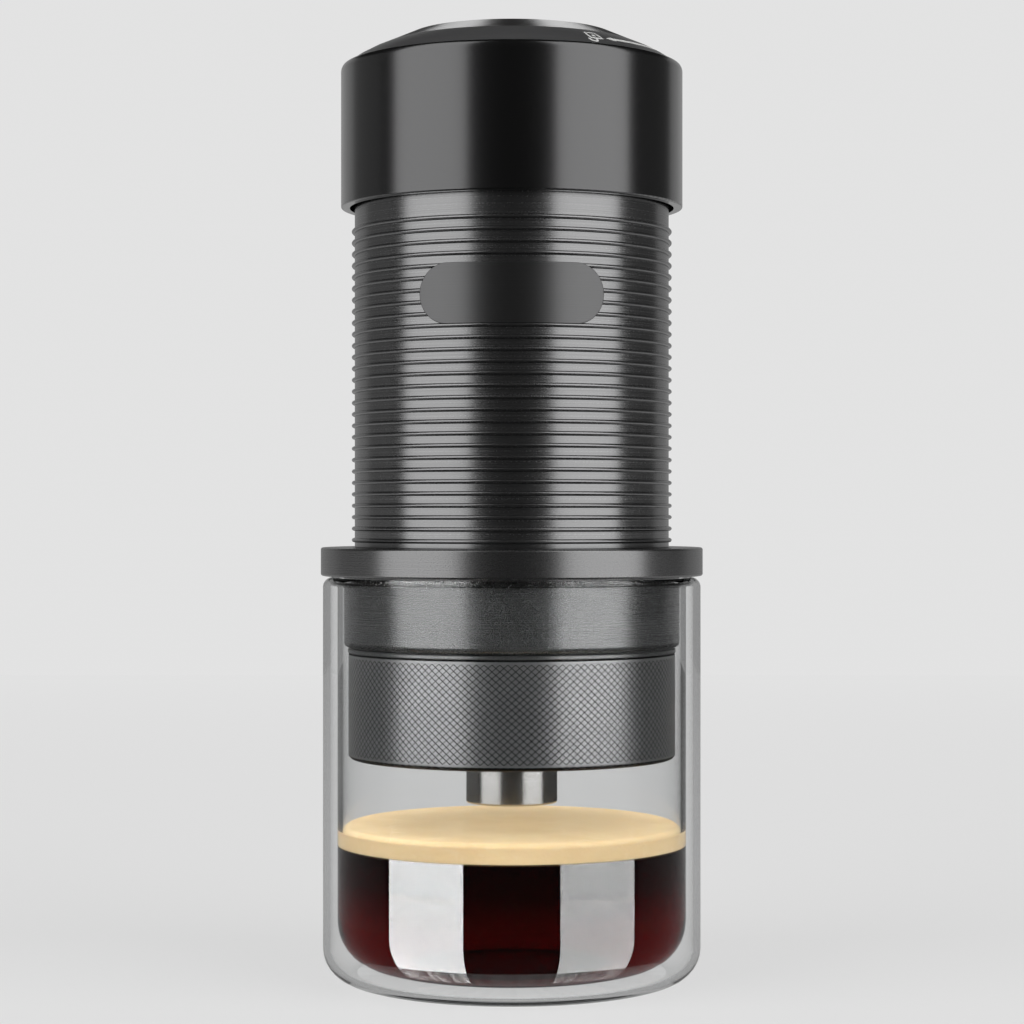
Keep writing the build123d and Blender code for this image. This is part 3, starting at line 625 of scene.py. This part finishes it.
def bright_steel(name, roughness=(0.10, 0.20), rings=6000.0, tone=(0.60, 0.60, 0.60), depth=0.000003,
                 lengthwise=0.0):
    """Stainless steel with the fine marks of turning and polishing."""
    dark = tuple(0.86 * value for value in tone)
    return anodised(name, dark, tone, roughness, rings, depth, 1.0, lengthwise)


grey_silicone = soft_rubber("grey_silicone", (0.42, 0.42, 0.42), (0.50, 0.50, 0.50))
black_rubber = soft_rubber("black_rubber", (0.018, 0.018, 0.018), (0.030, 0.030, 0.030))
coat(grey_silicone, "group_gasket")
coat(black_rubber, "tank_seal")

# The collar's ring carries a hard satin washer; above it a black ring fills the groove as painted shade,
# where the groove lies in shadow.
collar_washer = turned("collar_washer", [
    (SEAL_BORE, SEAL_LOW, 0.0), (SEAL_RADIUS, SEAL_LOW, 0.12), (SEAL_RADIUS, SEAL_GROOVE, 0.12),
    (SEAL_BORE, SEAL_GROOVE, 0.0)])
give(collar_washer, "maker_body", "grey_silicone",
     anodised("seal_satin", (0.22, 0.22, 0.22), (0.26, 0.26, 0.26), (0.26, 0.34)), "collar_seal")
# painted shade: a black ring in the groove above the washer, standing for the groove's shadow
collar_groove_shade = turned("collar_groove_shade", [
    (SEAL_BORE, SEAL_GROOVE, 0.0), (SEAL_GROOVE_RADIUS, SEAL_GROOVE, 0.0),
    (SEAL_GROOVE_RADIUS, SEAL_HIGH, 0.0), (SEAL_BORE, SEAL_HIGH, 0.0)])
give(collar_groove_shade, "maker_body", "seal_rubber", black_rubber)
coat(bright_steel("screen_steel", (0.18, 0.30)), "shower_screen")

# ---------- water tank
# A food-safe smoke-grey plastic liner, injection moulded, pushed into the sleeve.


def moulded(name, low, high, roughness=(0.30, 0.42), clear=0.0):
    """Injection-moulded plastic: a fine spark-eroded grain and slight flow marks."""
    return grained(name, low, high, roughness, 90.0, 2600.0, 3.0, 0.000008,
                   **{"Transmission Weight": clear, "IOR": 1.49})


coat(moulded("tank_smoke", (0.24, 0.25, 0.26), (0.30, 0.31, 0.32), clear=0.35), "water_tank")

# ---------- ribbed sleeve
# An aluminium tube, turned so that twenty-eight beads stand proud of its wall, then satin black anodised.
# The fine marks of the tool run around the wall between the beads.
SLEEVE_WALL_RADIUS = 28.79
SLEEVE_BORE = 27.0
SLEEVE_LOW = 79.05
SLEEVE_HIGH = 143.0
SLEEVE_EDGE = 0.15
BEAD_COUNT = 28
BEAD_FIRST = 80.4
BEAD_PITCH = 2.0889
BEAD_HEIGHT = 0.55
BEAD_HALF = 0.42
BEAD_STEPS = 192
BEAD_SIDES = 17


def new_recipe(name, sizes):
    """A Geometry Nodes tree with named sizes as its inputs; returns it, its inputs and its ending."""
    recipe = bpy.data.node_groups.new(name, "GeometryNodeTree")
    recipe.interface.new_socket("Geometry", in_out="OUTPUT", socket_type="NodeSocketGeometry")
    for label, value in sizes.items():
        kind = "NodeSocketInt" if isinstance(value, int) else "NodeSocketFloat"
        recipe.interface.new_socket(label, in_out="INPUT", socket_type=kind).default_value = value
    recipe.interface.new_socket("Finish", in_out="INPUT", socket_type="NodeSocketMaterial")
    return recipe, put(recipe, "NodeGroupInput").outputs, put(recipe, "NodeGroupOutput")


def wrapped(recipe, radius, turn, height):
    """A place from its distance to the axis, its turn and its height."""
    return got(recipe, "CombineXYZ", {"X": sums(recipe, "MULTIPLY", radius, sums(recipe, "COSINE", turn)),
                                      "Y": sums(recipe, "MULTIPLY", radius, sums(recipe, "SINE", turn)),
                                      "Z": height})


def finish_recipe(recipe, given, ending, geometry):
    """Closes a recipe: everything made real, and given its material."""
    real = got(recipe, "GeometryNodeRealizeInstances", {"Geometry": geometry})
    welded = got(recipe, "GeometryNodeMergeByDistance", {"Geometry": real, "Distance": 0.000002})
    painted = got(recipe, "GeometryNodeSetMaterial", {"Geometry": welded, "Material": given["Finish"]})
    recipe.links.new(painted, ending.inputs["Geometry"])


def made_by(name, recipe, sizes, material):
    """Runs a recipe with its sizes and keeps the result as a plain mesh."""
    holder = placed(name + "_recipe", bpy.data.meshes.new(name + "_recipe"))
    modifier = holder.modifiers.new(name, "NODES")
    modifier.node_group = recipe
    for item in recipe.interface.items_tree:
        if item.item_type == "SOCKET" and item.in_out == "INPUT":
            modifier[item.identifier] = material if item.name == "Finish" else sizes[item.name]
    bpy.context.view_layer.update()
    seen = holder.evaluated_get(bpy.context.evaluated_depsgraph_get())
    mesh = bpy.data.meshes.new_from_object(seen)
    bpy.data.objects.remove(holder)
    mesh.name = name
    return placed(name, mesh)


def joined(pieces, name):
    """Several meshes made into one piece."""
    with bpy.context.temp_override(active_object=pieces[0], selected_editable_objects=pieces):
        bpy.ops.object.join()
    pieces[0].name = name
    pieces[0].data.name = name
    return pieces[0]


bead_sizes = {"Count": BEAD_COUNT, "Steps": BEAD_STEPS, "Sides": BEAD_SIDES,
              "Wall radius": SLEEVE_WALL_RADIUS * MM, "First bead": BEAD_FIRST * MM, "Pitch": BEAD_PITCH * MM,
              "Bead height": BEAD_HEIGHT * MM, "Bead half width": BEAD_HALF * MM}
recipe, given, ending = new_recipe("turned_beads", bead_sizes)
strip = got(recipe, "GeometryNodeMeshGrid", {"Size X": 1.0, "Size Y": 1.0, "Vertices X": given["Steps"],
                                             "Vertices Y": given["Sides"]})
levels = got(recipe, "GeometryNodeMeshLine", {"Count": given["Count"], "Start Location": (0.0, 0.0, 0.0),
                                              "Offset": (0.0, 0.0, 1.0)})
beads = got(recipe, "GeometryNodeInstanceOnPoints", {"Points": levels, "Instance": strip})
beads = got(recipe, "GeometryNodeRealizeInstances", {"Geometry": beads})
flat_place = put(recipe, "SeparateXYZ", {0: got(recipe, "GeometryNodeInputPosition")}).outputs
around = sums(recipe, "MULTIPLY", flat_place["X"], 2.0 * math.pi)
across = sums(recipe, "MULTIPLY", flat_place["Y"], 2.0 * math.pi)
outwards = sums(recipe, "MULTIPLY", sums(recipe, "COSINE", across), given["Bead height"])
upwards = sums(recipe, "MULTIPLY", sums(recipe, "SINE", across), given["Bead half width"])
bead_radius = sums(recipe, "ADD", outwards, given["Wall radius"])
level = sums(recipe, "MULTIPLY_ADD", flat_place["Z"], given["Pitch"], given["First bead"])
bead_place = wrapped(recipe, bead_radius, around, sums(recipe, "ADD", level, upwards))
beads = got(recipe, "GeometryNodeSetPosition", {"Geometry": beads, "Position": bead_place})
finish_recipe(recipe, given, ending, beads)

sleeve_finish = anodised("sleeve_anodised", (0.190, 0.190, 0.191), (0.238, 0.238, 0.240), (0.20, 0.28),
                         3400.0, 0.000003)
bead_rings = made_by("beads", recipe, bead_sizes, sleeve_finish)
sleeve_tube = turned("sleeve_tube", [
    (SLEEVE_BORE, SLEEVE_LOW, SLEEVE_EDGE), (SLEEVE_WALL_RADIUS, SLEEVE_LOW, SLEEVE_EDGE),
    (SLEEVE_WALL_RADIUS, SLEEVE_HIGH, SLEEVE_EDGE), (SLEEVE_BORE, SLEEVE_HIGH, SLEEVE_EDGE)], BEAD_STEPS)
sleeve_tube.data.materials.append(sleeve_finish)
sleeve = joined([sleeve_tube, bead_rings], "sleeve")
smooth(sleeve)
give(sleeve, "maker_body", "black_aluminium", None, "ribbed_sleeve")

# ---------- front plate
# A pill-shaped plate of thin black aluminium, curved to the sleeve and bonded over the beads. It is bare.
PLATE_MIDDLE = 123.55
PLATE_HALF_HEIGHT = 5.35
PLATE_STRAIGHT_HALF = 11.3
PLATE_END = 4.85
PLATE_RADIUS = 29.39
PLATE_BACK_RADIUS = 28.7
PLATE_EDGE = 0.14
PLATE_AROUND = 120
PLATE_ALONG = 16
PLATE_EDGE_STEPS = 5
PLATE_FACE_RINGS = (0.02, 0.3, 0.6, 1.0)    # shares of the way from the edge to the middle line


def plate_loop(inset, radius, share=0.0):
    """One ring of the plate's corners, drawn towards its middle line by a share and wrapped on the sleeve."""
    half = PLATE_AROUND // 2
    edge = []
    for k in range(half + 1):
        angle = math.pi * (k / half - 0.5)
        edge.append((PLATE_STRAIGHT_HALF + (PLATE_END - inset) * math.cos(angle),
                     (PLATE_HALF_HEIGHT - inset) * math.sin(angle)))
    edge += [(PLATE_STRAIGHT_HALF * (1.0 - 2.0 * k / PLATE_ALONG), PLATE_HALF_HEIGHT - inset)
             for k in range(1, PLATE_ALONG)]
    edge += [(-x, -z) for x, z in edge]
    loop = []
    for x, z in edge:
        middle = max(-PLATE_STRAIGHT_HALF, min(PLATE_STRAIGHT_HALF, x))
        turn = math.asin((x + (middle - x) * share) / PLATE_RADIUS)
        loop.append((radius * MM * math.sin(turn), -radius * MM * math.cos(turn),
                     (PLATE_MIDDLE + z * (1.0 - share)) * MM))
    return loop


rings = [plate_loop(0.0, PLATE_BACK_RADIUS, 1.0), plate_loop(0.0, PLATE_BACK_RADIUS),
         plate_loop(0.0, PLATE_RADIUS - PLATE_EDGE)]
for step in range(1, PLATE_EDGE_STEPS + 1):
    angle = math.radians(90.0) * step / PLATE_EDGE_STEPS
    rings.append(plate_loop(PLATE_EDGE * (1.0 - math.cos(angle)),
                            PLATE_RADIUS - PLATE_EDGE * (1.0 - math.sin(angle))))
rings += [plate_loop(PLATE_EDGE, PLATE_RADIUS, share) for share in PLATE_FACE_RINGS]
size = len(rings[0])
faces = [(a * size + k, a * size + (k + 1) % size, (a + 1) * size + (k + 1) % size, (a + 1) * size + k)
         for a in range(len(rings) - 1) for k in range(size)]
plate = sheet_mesh("front_plate_bare", [corner for ring in rings for corner in ring], faces)


def welded(piece, gap=0.000002):
    """Joins corners that meet, drops what has no area and turns every face outwards."""
    work = bmesh.new()
    work.from_mesh(piece.data)
    bmesh.ops.remove_doubles(work, verts=work.verts, dist=gap)
    bmesh.ops.recalc_face_normals(work, faces=work.faces)
    work.to_mesh(piece.data)
    work.free()


welded(plate)
smooth(plate)
give(plate, "maker_body", "plate_black",
     anodised("plate_satin", (0.098, 0.098, 0.099), (0.112, 0.112, 0.113), (0.28, 0.34), 6000.0, 0.000002),
     "front_plate")

# ---------- filter basket
# Deep-drawn from thin stainless sheet, with a rolled rim and a pierced floor.
coat(bright_steel("basket_steel", (0.16, 0.28), 2600.0), "filter_basket")

# ---------- portafilter
# Turned from aluminium, its grip rolled with a diamond knurl between two plain bands, then black anodised.
# The grooves between the pads are painted near black as shade, and the pads' flats keep a grey tone.
GRIP_RADIUS = 29.95
GRIP_LOW = 40.6
GRIP_HIGH = 59.7
GRIP_EDGE = 1.0
KNURL_LOW = 41.75
KNURL_HIGH = 59.15
KNURL_DEPTH = 0.22
KNURL_AROUND = 138
KNURL_ROWS = 30
PAD_FLAT = 0.86
PAD_BELOW = 0.01            # how far the pads' flats lie below the plain bands
GROOVE_SHADE_BELOW = (0.05, 0.02)     # the same for where the grooves' painted shade starts to fade and where the flats' full tone begins
NECK_RADIUS = 28.3
NECK_TOP = 66.2
NECK_EDGE = 0.3
POT_BORE = 23.5
POT_FLOOR = 2.5
POT_CORNER = 2.0
SPOUT_HOLE = 5.1
POT_STEPS = 276

pot_body = turned("pot_body", [
    (SPOUT_HOLE, GRIP_LOW, 0.1), (GRIP_RADIUS, GRIP_LOW, GRIP_EDGE),
    (GRIP_RADIUS, KNURL_LOW, 0.03), (GRIP_RADIUS - KNURL_DEPTH, KNURL_LOW, 0.0),
    (GRIP_RADIUS - KNURL_DEPTH, KNURL_HIGH, 0.0), (GRIP_RADIUS, KNURL_HIGH, 0.03),
    (GRIP_RADIUS, GRIP_HIGH, 0.2), (NECK_RADIUS, GRIP_HIGH, 0.0), (NECK_RADIUS, NECK_TOP, NECK_EDGE),
    (POT_BORE, NECK_TOP, NECK_EDGE), (POT_BORE, GRIP_LOW + POT_FLOOR, POT_CORNER),
    (SPOUT_HOLE, GRIP_LOW + POT_FLOOR, 0.1)], POT_STEPS)

knurl_sizes = {"Around": KNURL_AROUND, "Rows": KNURL_ROWS, "Grip radius": (GRIP_RADIUS - PAD_BELOW) * MM,
               "Knurl low": KNURL_LOW * MM, "Knurl high": KNURL_HIGH * MM, "Depth": KNURL_DEPTH * MM,
               "Flat": PAD_FLAT}
recipe, given, ending = new_recipe("diamond_knurl", knurl_sizes)
pad_count = sums(recipe, "MULTIPLY", given["Around"], given["Rows"])
pads = got(recipe, "GeometryNodeMeshLine", {"Count": pad_count, "Offset": (0.0, 0.0, 0.0)})
number = got(recipe, "GeometryNodeInputIndex")
row = sums(recipe, "FLOOR", sums(recipe, "DIVIDE", number, given["Around"]))
column = sums(recipe, "MODULO", number, given["Around"])
stagger = sums(recipe, "MULTIPLY_ADD", sums(recipe, "MODULO", row, 2.0), 0.5, column)
pad_turn = sums(recipe, "MULTIPLY", sums(recipe, "DIVIDE", stagger, given["Around"]), 2.0 * math.pi)
row_pitch = sums(recipe, "DIVIDE", sums(recipe, "SUBTRACT", given["Knurl high"], given["Knurl low"]),
                 sums(recipe, "SUBTRACT", given["Rows"], 1.0))
root = sums(recipe, "SUBTRACT", given["Grip radius"], given["Depth"])
pad_place = wrapped(recipe, root, pad_turn, sums(recipe, "MULTIPLY_ADD", row, row_pitch, given["Knurl low"]))
pads = got(recipe, "GeometryNodeSetPosition", {"Geometry": pads, "Position": pad_place})
facing = got(recipe, "CombineXYZ", {"X": 0.0, "Y": math.pi / 2.0, "Z": pad_turn})
half_width = sums(recipe, "DIVIDE", sums(recipe, "MULTIPLY", root, math.pi), given["Around"])
pad_size = got(recipe, "CombineXYZ", {"X": row_pitch, "Y": half_width, "Z": given["Depth"]})
pad = got(recipe, "GeometryNodeMeshCone", {"Vertices": 4, "Side Segments": 1, "Radius Top": given["Flat"],
                                           "Radius Bottom": 1.0, "Depth": 1.0}, fill_type="NGON")
pads = got(recipe, "GeometryNodeInstanceOnPoints", {"Points": pads, "Instance": pad, "Rotation": facing,
                                                    "Scale": pad_size})
finish_recipe(recipe, given, ending, pads)


def knurled(name):
    """Anodised knurl: painted shade makes the grooves near black; the flats are greyer and a touch smoother.
    """
    material, tree = new_material(name)
    limits = [(GRIP_RADIUS - below) * MM for below in GROOVE_SHADE_BELOW]
    proud = spread(tree, off_axis(tree, here(tree)), 0.0, 1.0, *limits)
    # painted shade: near black in the grooves below the flats, with a little random grain on the flats
    groove_shade_mask = sums(tree, "MULTIPLY", proud, spread(tree, grain(tree, 700.0, 4.0), 0.88, 1.0))
    return finished(material, got(tree, "BsdfPrincipled", {
        "Base Color": between(tree, groove_shade_mask, (0.016, 0.016, 0.016), (0.42, 0.42, 0.423)), "Metallic": 0.96,
        "Roughness": spread(tree, groove_shade_mask, 0.50, 0.29, 0.0, 1.0),
        "Normal": bump(tree, grain(tree, 9000.0, 2.0), 0.0000006)}))


knurl_finish = knurled("knurl_anodised")
knurl_pads = made_by("knurl_pads", recipe, knurl_sizes, knurl_finish)
pot_body.data.materials.append(knurl_finish)
grip = joined([pot_body, knurl_pads], "knurled_portafilter")
smooth(grip)
give(grip, "portafilter", "black_knurl", None, "portafilter")

# ---------- spout, washer and nut
# A polished stainless tube with a flared mouth. Its neck passes through the portafilter's floor, where a
# washer and a hexagonal nut hold it.
SPOUT_RADIUS = 8.35
SPOUT_LOW = 32.3
SPOUT_MOUTH = 6.9
SPOUT_MOUTH_DEPTH = 4.7
SPOUT_BORE = 3.2
SPOUT_TAPER = 2.5
SPOUT_NECK = 5.0
SPOUT_TOP = 46.8
SPOUT_STEPS = 160

spout_tube = turned("spout_tube", [
    (SPOUT_MOUTH, SPOUT_LOW, 0.35), (SPOUT_RADIUS, SPOUT_LOW, 0.35), (SPOUT_RADIUS, GRIP_LOW, 0.05),
    (SPOUT_NECK, GRIP_LOW, 0.0), (SPOUT_NECK, SPOUT_TOP, 0.3), (SPOUT_BORE, SPOUT_TOP, 0.3),
    (SPOUT_BORE, SPOUT_LOW + SPOUT_MOUTH_DEPTH + SPOUT_TAPER, 0.2),
    (SPOUT_MOUTH, SPOUT_LOW + SPOUT_MOUTH_DEPTH, 0.3)], SPOUT_STEPS)
give(spout_tube, "portafilter", "polished_steel",
     bright_steel("spout_steel", (0.16, 0.24), 7000.0, (0.60, 0.591, 0.578)), "spout")
coat(grey_silicone, "spout_washer")
nut_steel = bright_steel("nut_steel", (0.16, 0.26), 3000.0)
coat(nut_steel, "spout_nut")

# ---------- pump housing and its ring
# The tank's lid with the lock tower, moulded in black glass-filled nylon. A rubber ring seals it.
black_nylon = moulded("black_nylon", (0.030, 0.030, 0.031), (0.042, 0.042, 0.043), (0.36, 0.50))
coat(black_nylon, "pump_housing")
coat(black_rubber, "housing_o_ring", "outlet_o_ring", "piston_seals")

# ---------- pump cylinder, rod guide and wiper
# The cylinder is stainless tube. The guide is white acetal and the wiper grey silicone.
white_acetal = moulded("white_acetal", (0.76, 0.76, 0.74), (0.84, 0.84, 0.82), (0.26, 0.36))
coat(bright_steel("cylinder_steel", (0.14, 0.24), 5000.0), "pump_cylinder")
coat(white_acetal, "rod_guide", "valve_block", "piston")
coat(grey_silicone, "rod_wiper", "inlet_flap", "valve_seat")

# ---------- check ball and its spring
# A steel ball closes the outlet, and a fine stainless spring lifts it back.
coat(bright_steel("ball_steel", (0.06, 0.12), 900.0, (0.66, 0.66, 0.66)), "outlet_ball")
OUTLET_COIL = (1.6, 0.2, 6.0, 24, 8)    # radius, the wire's radius, turns, steps to a turn and sides


def coil(name, low, high, radius, wire, turns, steps, sides):
    """A closed-end compression spring in round wire, in millimetres."""
    corners, faces = [], []
    count = int(turns * steps)
    dead = 1.0 / turns
    for k in range(count + 1):
        share = k / count
        lift = min(1.0, max(0.0, (share - dead / 2.0) / (1.0 - dead)))
        angle = 2.0 * math.pi * turns * share
        height = low + wire + (high - low - 2.0 * wire) * lift
        for side in range(sides):
            bend = 2.0 * math.pi * side / sides
            r = radius + wire * math.cos(bend)
            corners.append((r * MM * math.cos(angle), r * MM * math.sin(angle),
                            (height + wire * math.sin(bend)) * MM))
    for k in range(count):
        for side in range(sides):
            after = (side + 1) % sides
            near, far = k * sides, (k + 1) * sides
            faces.append((near + side, far + side, far + after, near + after))
    faces.append(tuple(range(sides)))
    faces.append(tuple(count * sides + side for side in reversed(range(sides))))
    spring = sheet_mesh(name, corners, faces)
    welded(spring)
    smooth(spring, 45.0)
    return spring


def spring_between(name, node, lower, upper, *sizes):
    """A coil in place of a spring's solid, spanning the solid's height; the bodies given as lower and upper
    are not used.
    """
    low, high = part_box(node)
    spring = coil(name, low.z / MM, high.z / MM, *sizes)
    spring.data.materials.append(spring_wire)
    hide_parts(node)
    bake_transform(spring)


spring_wire = bright_steel("spring_wire", (0.18, 0.30), 2400.0, (0.52, 0.52, 0.53))
spring_between("outlet_coil", "outlet_spring", "pump_unit", "check_ball", *OUTLET_COIL)

# ---------- return spring
# A stainless compression spring around the lock tower's inside pushes the pump head up.
RETURN_COIL = (12.4, 0.65, 5.5, 64, 12)     # as for the outlet's coil
spring_between("return_coil", "return_spring", "pump_unit", "plunger", *RETURN_COIL)

# ---------- piston rod and shoulder screw
# Ground stainless rod, and the screw that carries the pump head on it.
coat(bright_steel("rod_steel", (0.08, 0.16), 5200.0), "piston_rod", "shoulder_screw")

# ---------- cap shell
# The pump head's cover, turned from aluminium, black anodised and lacquered, smooth to the hand.
# Its upper edge is rounded over towards the ring.
CAP_RADIUS = 31.3
CAP_SHOULDER = 165.9
CAP_TOP = 167.05
CAP_LIP_RADIUS = 30.6
CAP_LIP_DEPTH = 0.3
LIP_STEPS = 10

cap_finish = anodised("cap_anodised", (0.052, 0.052, 0.053), (0.062, 0.062, 0.063), (0.20, 0.25),
                      SMOOTH_RINGS, 0.0000015, lacquer=1.0)
coat(cap_finish, "cap_shell")
lip = [(CAP_LIP_RADIUS - CAP_LIP_DEPTH, CAP_SHOULDER, 0.0)]
for step in range(LIP_STEPS + 1):
    angle = math.radians(90.0 * step / LIP_STEPS)
    lip.append((CAP_LIP_RADIUS + (CAP_RADIUS - CAP_LIP_RADIUS) * math.cos(angle),
                CAP_SHOULDER + (CAP_TOP - CAP_SHOULDER) * math.sin(angle), 0.0))
lip.append((CAP_LIP_RADIUS - CAP_LIP_DEPTH, CAP_TOP, 0.0))
give(turned("cap_lip", lip), "pump_head", "black_aluminium", cap_finish)

# ---------- lock core and its screws
# The bayonet core is moulded nylon, held to the shell by three stainless screws.
coat(black_nylon, "lock_core")
coat(nut_steel, "core_screws")

# ---------- indicator ring and its marks
# A sloped, slightly crowned anodised ring. An open padlock and an arrow are printed on it in pale grey and
# show which way the head turns to lock.
RING_LOW = 166.6
RING_OUTER = 30.6
RING_EDGE_TOP = 166.95
RING_INNER = 23.65
RING_TOP = 170.62
RING_BORE = 21.7
RING_CROWN = 0.5
RING_CROWN_RADIUS = 30.0

ring_rise = RING_TOP - RING_EDGE_TOP
ring_run = RING_OUTER - RING_INNER
ring_slope = math.hypot(ring_rise, ring_run)
crown = ((RING_OUTER + RING_INNER) / 2.0 + RING_CROWN * ring_rise / ring_slope,
         (RING_EDGE_TOP + RING_TOP) / 2.0 + RING_CROWN * ring_run / ring_slope)
ring_points = [
    (RING_BORE, RING_LOW, 0.0), (RING_OUTER, RING_LOW, 0.0), (RING_OUTER, RING_EDGE_TOP, 0.1),
    (crown[0], crown[1], RING_CROWN_RADIUS), (RING_INNER, RING_TOP, 0.06), (RING_BORE, RING_TOP, 0.06)]
ring_finish = anodised("ring_anodised", (0.062, 0.062, 0.063), (0.076, 0.076, 0.077), (0.28, 0.36),
                       depth=0.000003, metallic=0.0)
give(turned("indicator_cone", ring_points), "pump_head", "ring_black", ring_finish, "indicator_ring")

MARK_PROUD = 0.03
MARK_SUNK = 0.10
ARROW_RADIUS = 28.1
ARROW_TAIL, ARROW_NECK, ARROW_TIP = 71.0, 39.6, 36.0    # degrees to the right of the front
ARROW_LINE = 0.78
ARROW_HEAD = 1.5
ARROW_TAPER = 0.96      # share of the head's width that is gone at its tip
ARROW_STEPS = 24
HEAD_STEPS = 6
LOCK_ANGLE = 31.5
LOCK_LINE = 0.42
LOCK_BODY = (26.0, 28.5, 1.15)      # inner and outer radius and half width of the padlock's body
LOCK_SHACKLE = (28.5, 0.45, 0.72)   # radius where the shackle starts, its straight length and half width
SHACKLE_SHIFT = -1.0
SHACKLE_STEPS = 10
SHORT_LEG = 0.45        # share of the straight length that the shackle's open leg has lost
KEYHOLE = (27.0, 27.7, 0.60)        # inner and outer radius and width of the keyhole


def ring_face_height(radius):
    """Height of the ring's sloped face at a radius."""
    face = [point for point in rounded(ring_points) if point[1] > RING_LOW]
    for (r0, z0), (r1, z1) in zip(face, face[1:]):
        if min(r0, r1) <= radius <= max(r0, r1) and r0 != r1:
            return z0 + (z1 - z0) * (radius - r0) / (r1 - r0)
    return RING_TOP


def printed_line(line, width, taper=0.0, closed=False):
    """A printed stroke on the ring's face along points of (millimetres to the right, radius)."""
    count = len(line)
    corners = []
    for k, (right, radius) in enumerate(line):
        before = line[k - 1] if closed or k else line[0]
        after = line[(k + 1) % count] if closed or k < count - 1 else line[-1]
        run = (after[0] - before[0], after[1] - before[1])
        size = math.hypot(*run)
        half = width * (1.0 - taper * k / (count - 1)) / 2.0
        for push, lift in ((half, MARK_PROUD), (-half, MARK_PROUD), (-half, -MARK_SUNK), (half, -MARK_SUNK)):
            away = radius + run[0] / size * push
            angle = (right - run[1] / size * push) / ARROW_RADIUS
            height = ring_face_height(away) + lift
            corners.append((away * MM * math.sin(angle), -away * MM * math.cos(angle), height * MM))
    faces = []
    for k in range(count if closed else count - 1):
        low, high = 4 * k, 4 * ((k + 1) % count)
        for side in range(4):
            after = (side + 1) % 4
            faces.append((low + side, low + after, high + after, high + side))
    if not closed:
        faces += [(3, 2, 1, 0), tuple(4 * (count - 1) + side for side in range(4))]
    return sheet_mesh("stroke", corners, faces)


def around_ring(start, end, steps):
    """Points along the arrow's circle from one angle to another."""
    return [(math.radians(start + (end - start) * k / steps) * ARROW_RADIUS, ARROW_RADIUS)
            for k in range(steps + 1)]


strokes = [printed_line(around_ring(ARROW_TAIL, ARROW_NECK, ARROW_STEPS), ARROW_LINE),
           printed_line(around_ring(ARROW_NECK, ARROW_TIP, HEAD_STEPS), ARROW_HEAD, ARROW_TAPER)]
middle = math.radians(LOCK_ANGLE) * ARROW_RADIUS
low, high, half = LOCK_BODY
waist = (low + high) / 2.0
body_line = [(middle - half, low), (middle, low), (middle + half, low), (middle + half, waist),
             (middle + half, high), (middle, high), (middle - half, high), (middle - half, waist)]
strokes.append(printed_line(body_line, LOCK_LINE, closed=True))
low, high, width = KEYHOLE
strokes.append(printed_line([(middle, low), (middle, high)], width))
low, straight, half = LOCK_SHACKLE
middle += SHACKLE_SHIFT
shackle = [(middle + half, low)]
for step in range(SHACKLE_STEPS + 1):
    angle = math.pi * step / SHACKLE_STEPS
    shackle.append((middle + half * math.cos(angle), low + straight + half * math.sin(angle)))
shackle.append((middle - half, low + straight * SHORT_LEG))
strokes.append(printed_line(shackle, LOCK_LINE))
marks = joined(strokes, "lock_marks")
welded(marks)
give(marks, "pump_head", "ring_black",
     grained("mark_ink", (0.70, 0.70, 0.69), (0.84, 0.84, 0.83), (0.45, 0.6), None, 2200.0, 3.0, 0.000004))

# ---------- top disc
# A bevelled aluminium button, spun with circular marks and polished, pressed into the ring.
DISC_PLUG = 21.6
DISC_OUTER = 23.65
DISC_BEVEL_INNER = 18.85
DISC_BEVEL_LOW = RING_TOP - 0.05
DISC_TOP = 172.72

low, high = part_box("top_disc")
disc = turned("polished_disc", [
    (0.0, low.z / MM, 0.0), (DISC_PLUG, low.z / MM, 0.1), (DISC_PLUG, DISC_BEVEL_LOW, 0.0),
    (DISC_OUTER, DISC_BEVEL_LOW, 0.02), (DISC_OUTER, RING_TOP, 0.02),
    (DISC_BEVEL_INNER, DISC_TOP, 0.2), (0.0, DISC_TOP, 0.0)])
give(disc, "pump_head", "polished_steel",
     bright_steel("disc_polished", (0.50, 0.56), 5200.0, (0.56, 0.56, 0.56), 0.000002, 1.0), "top_disc")
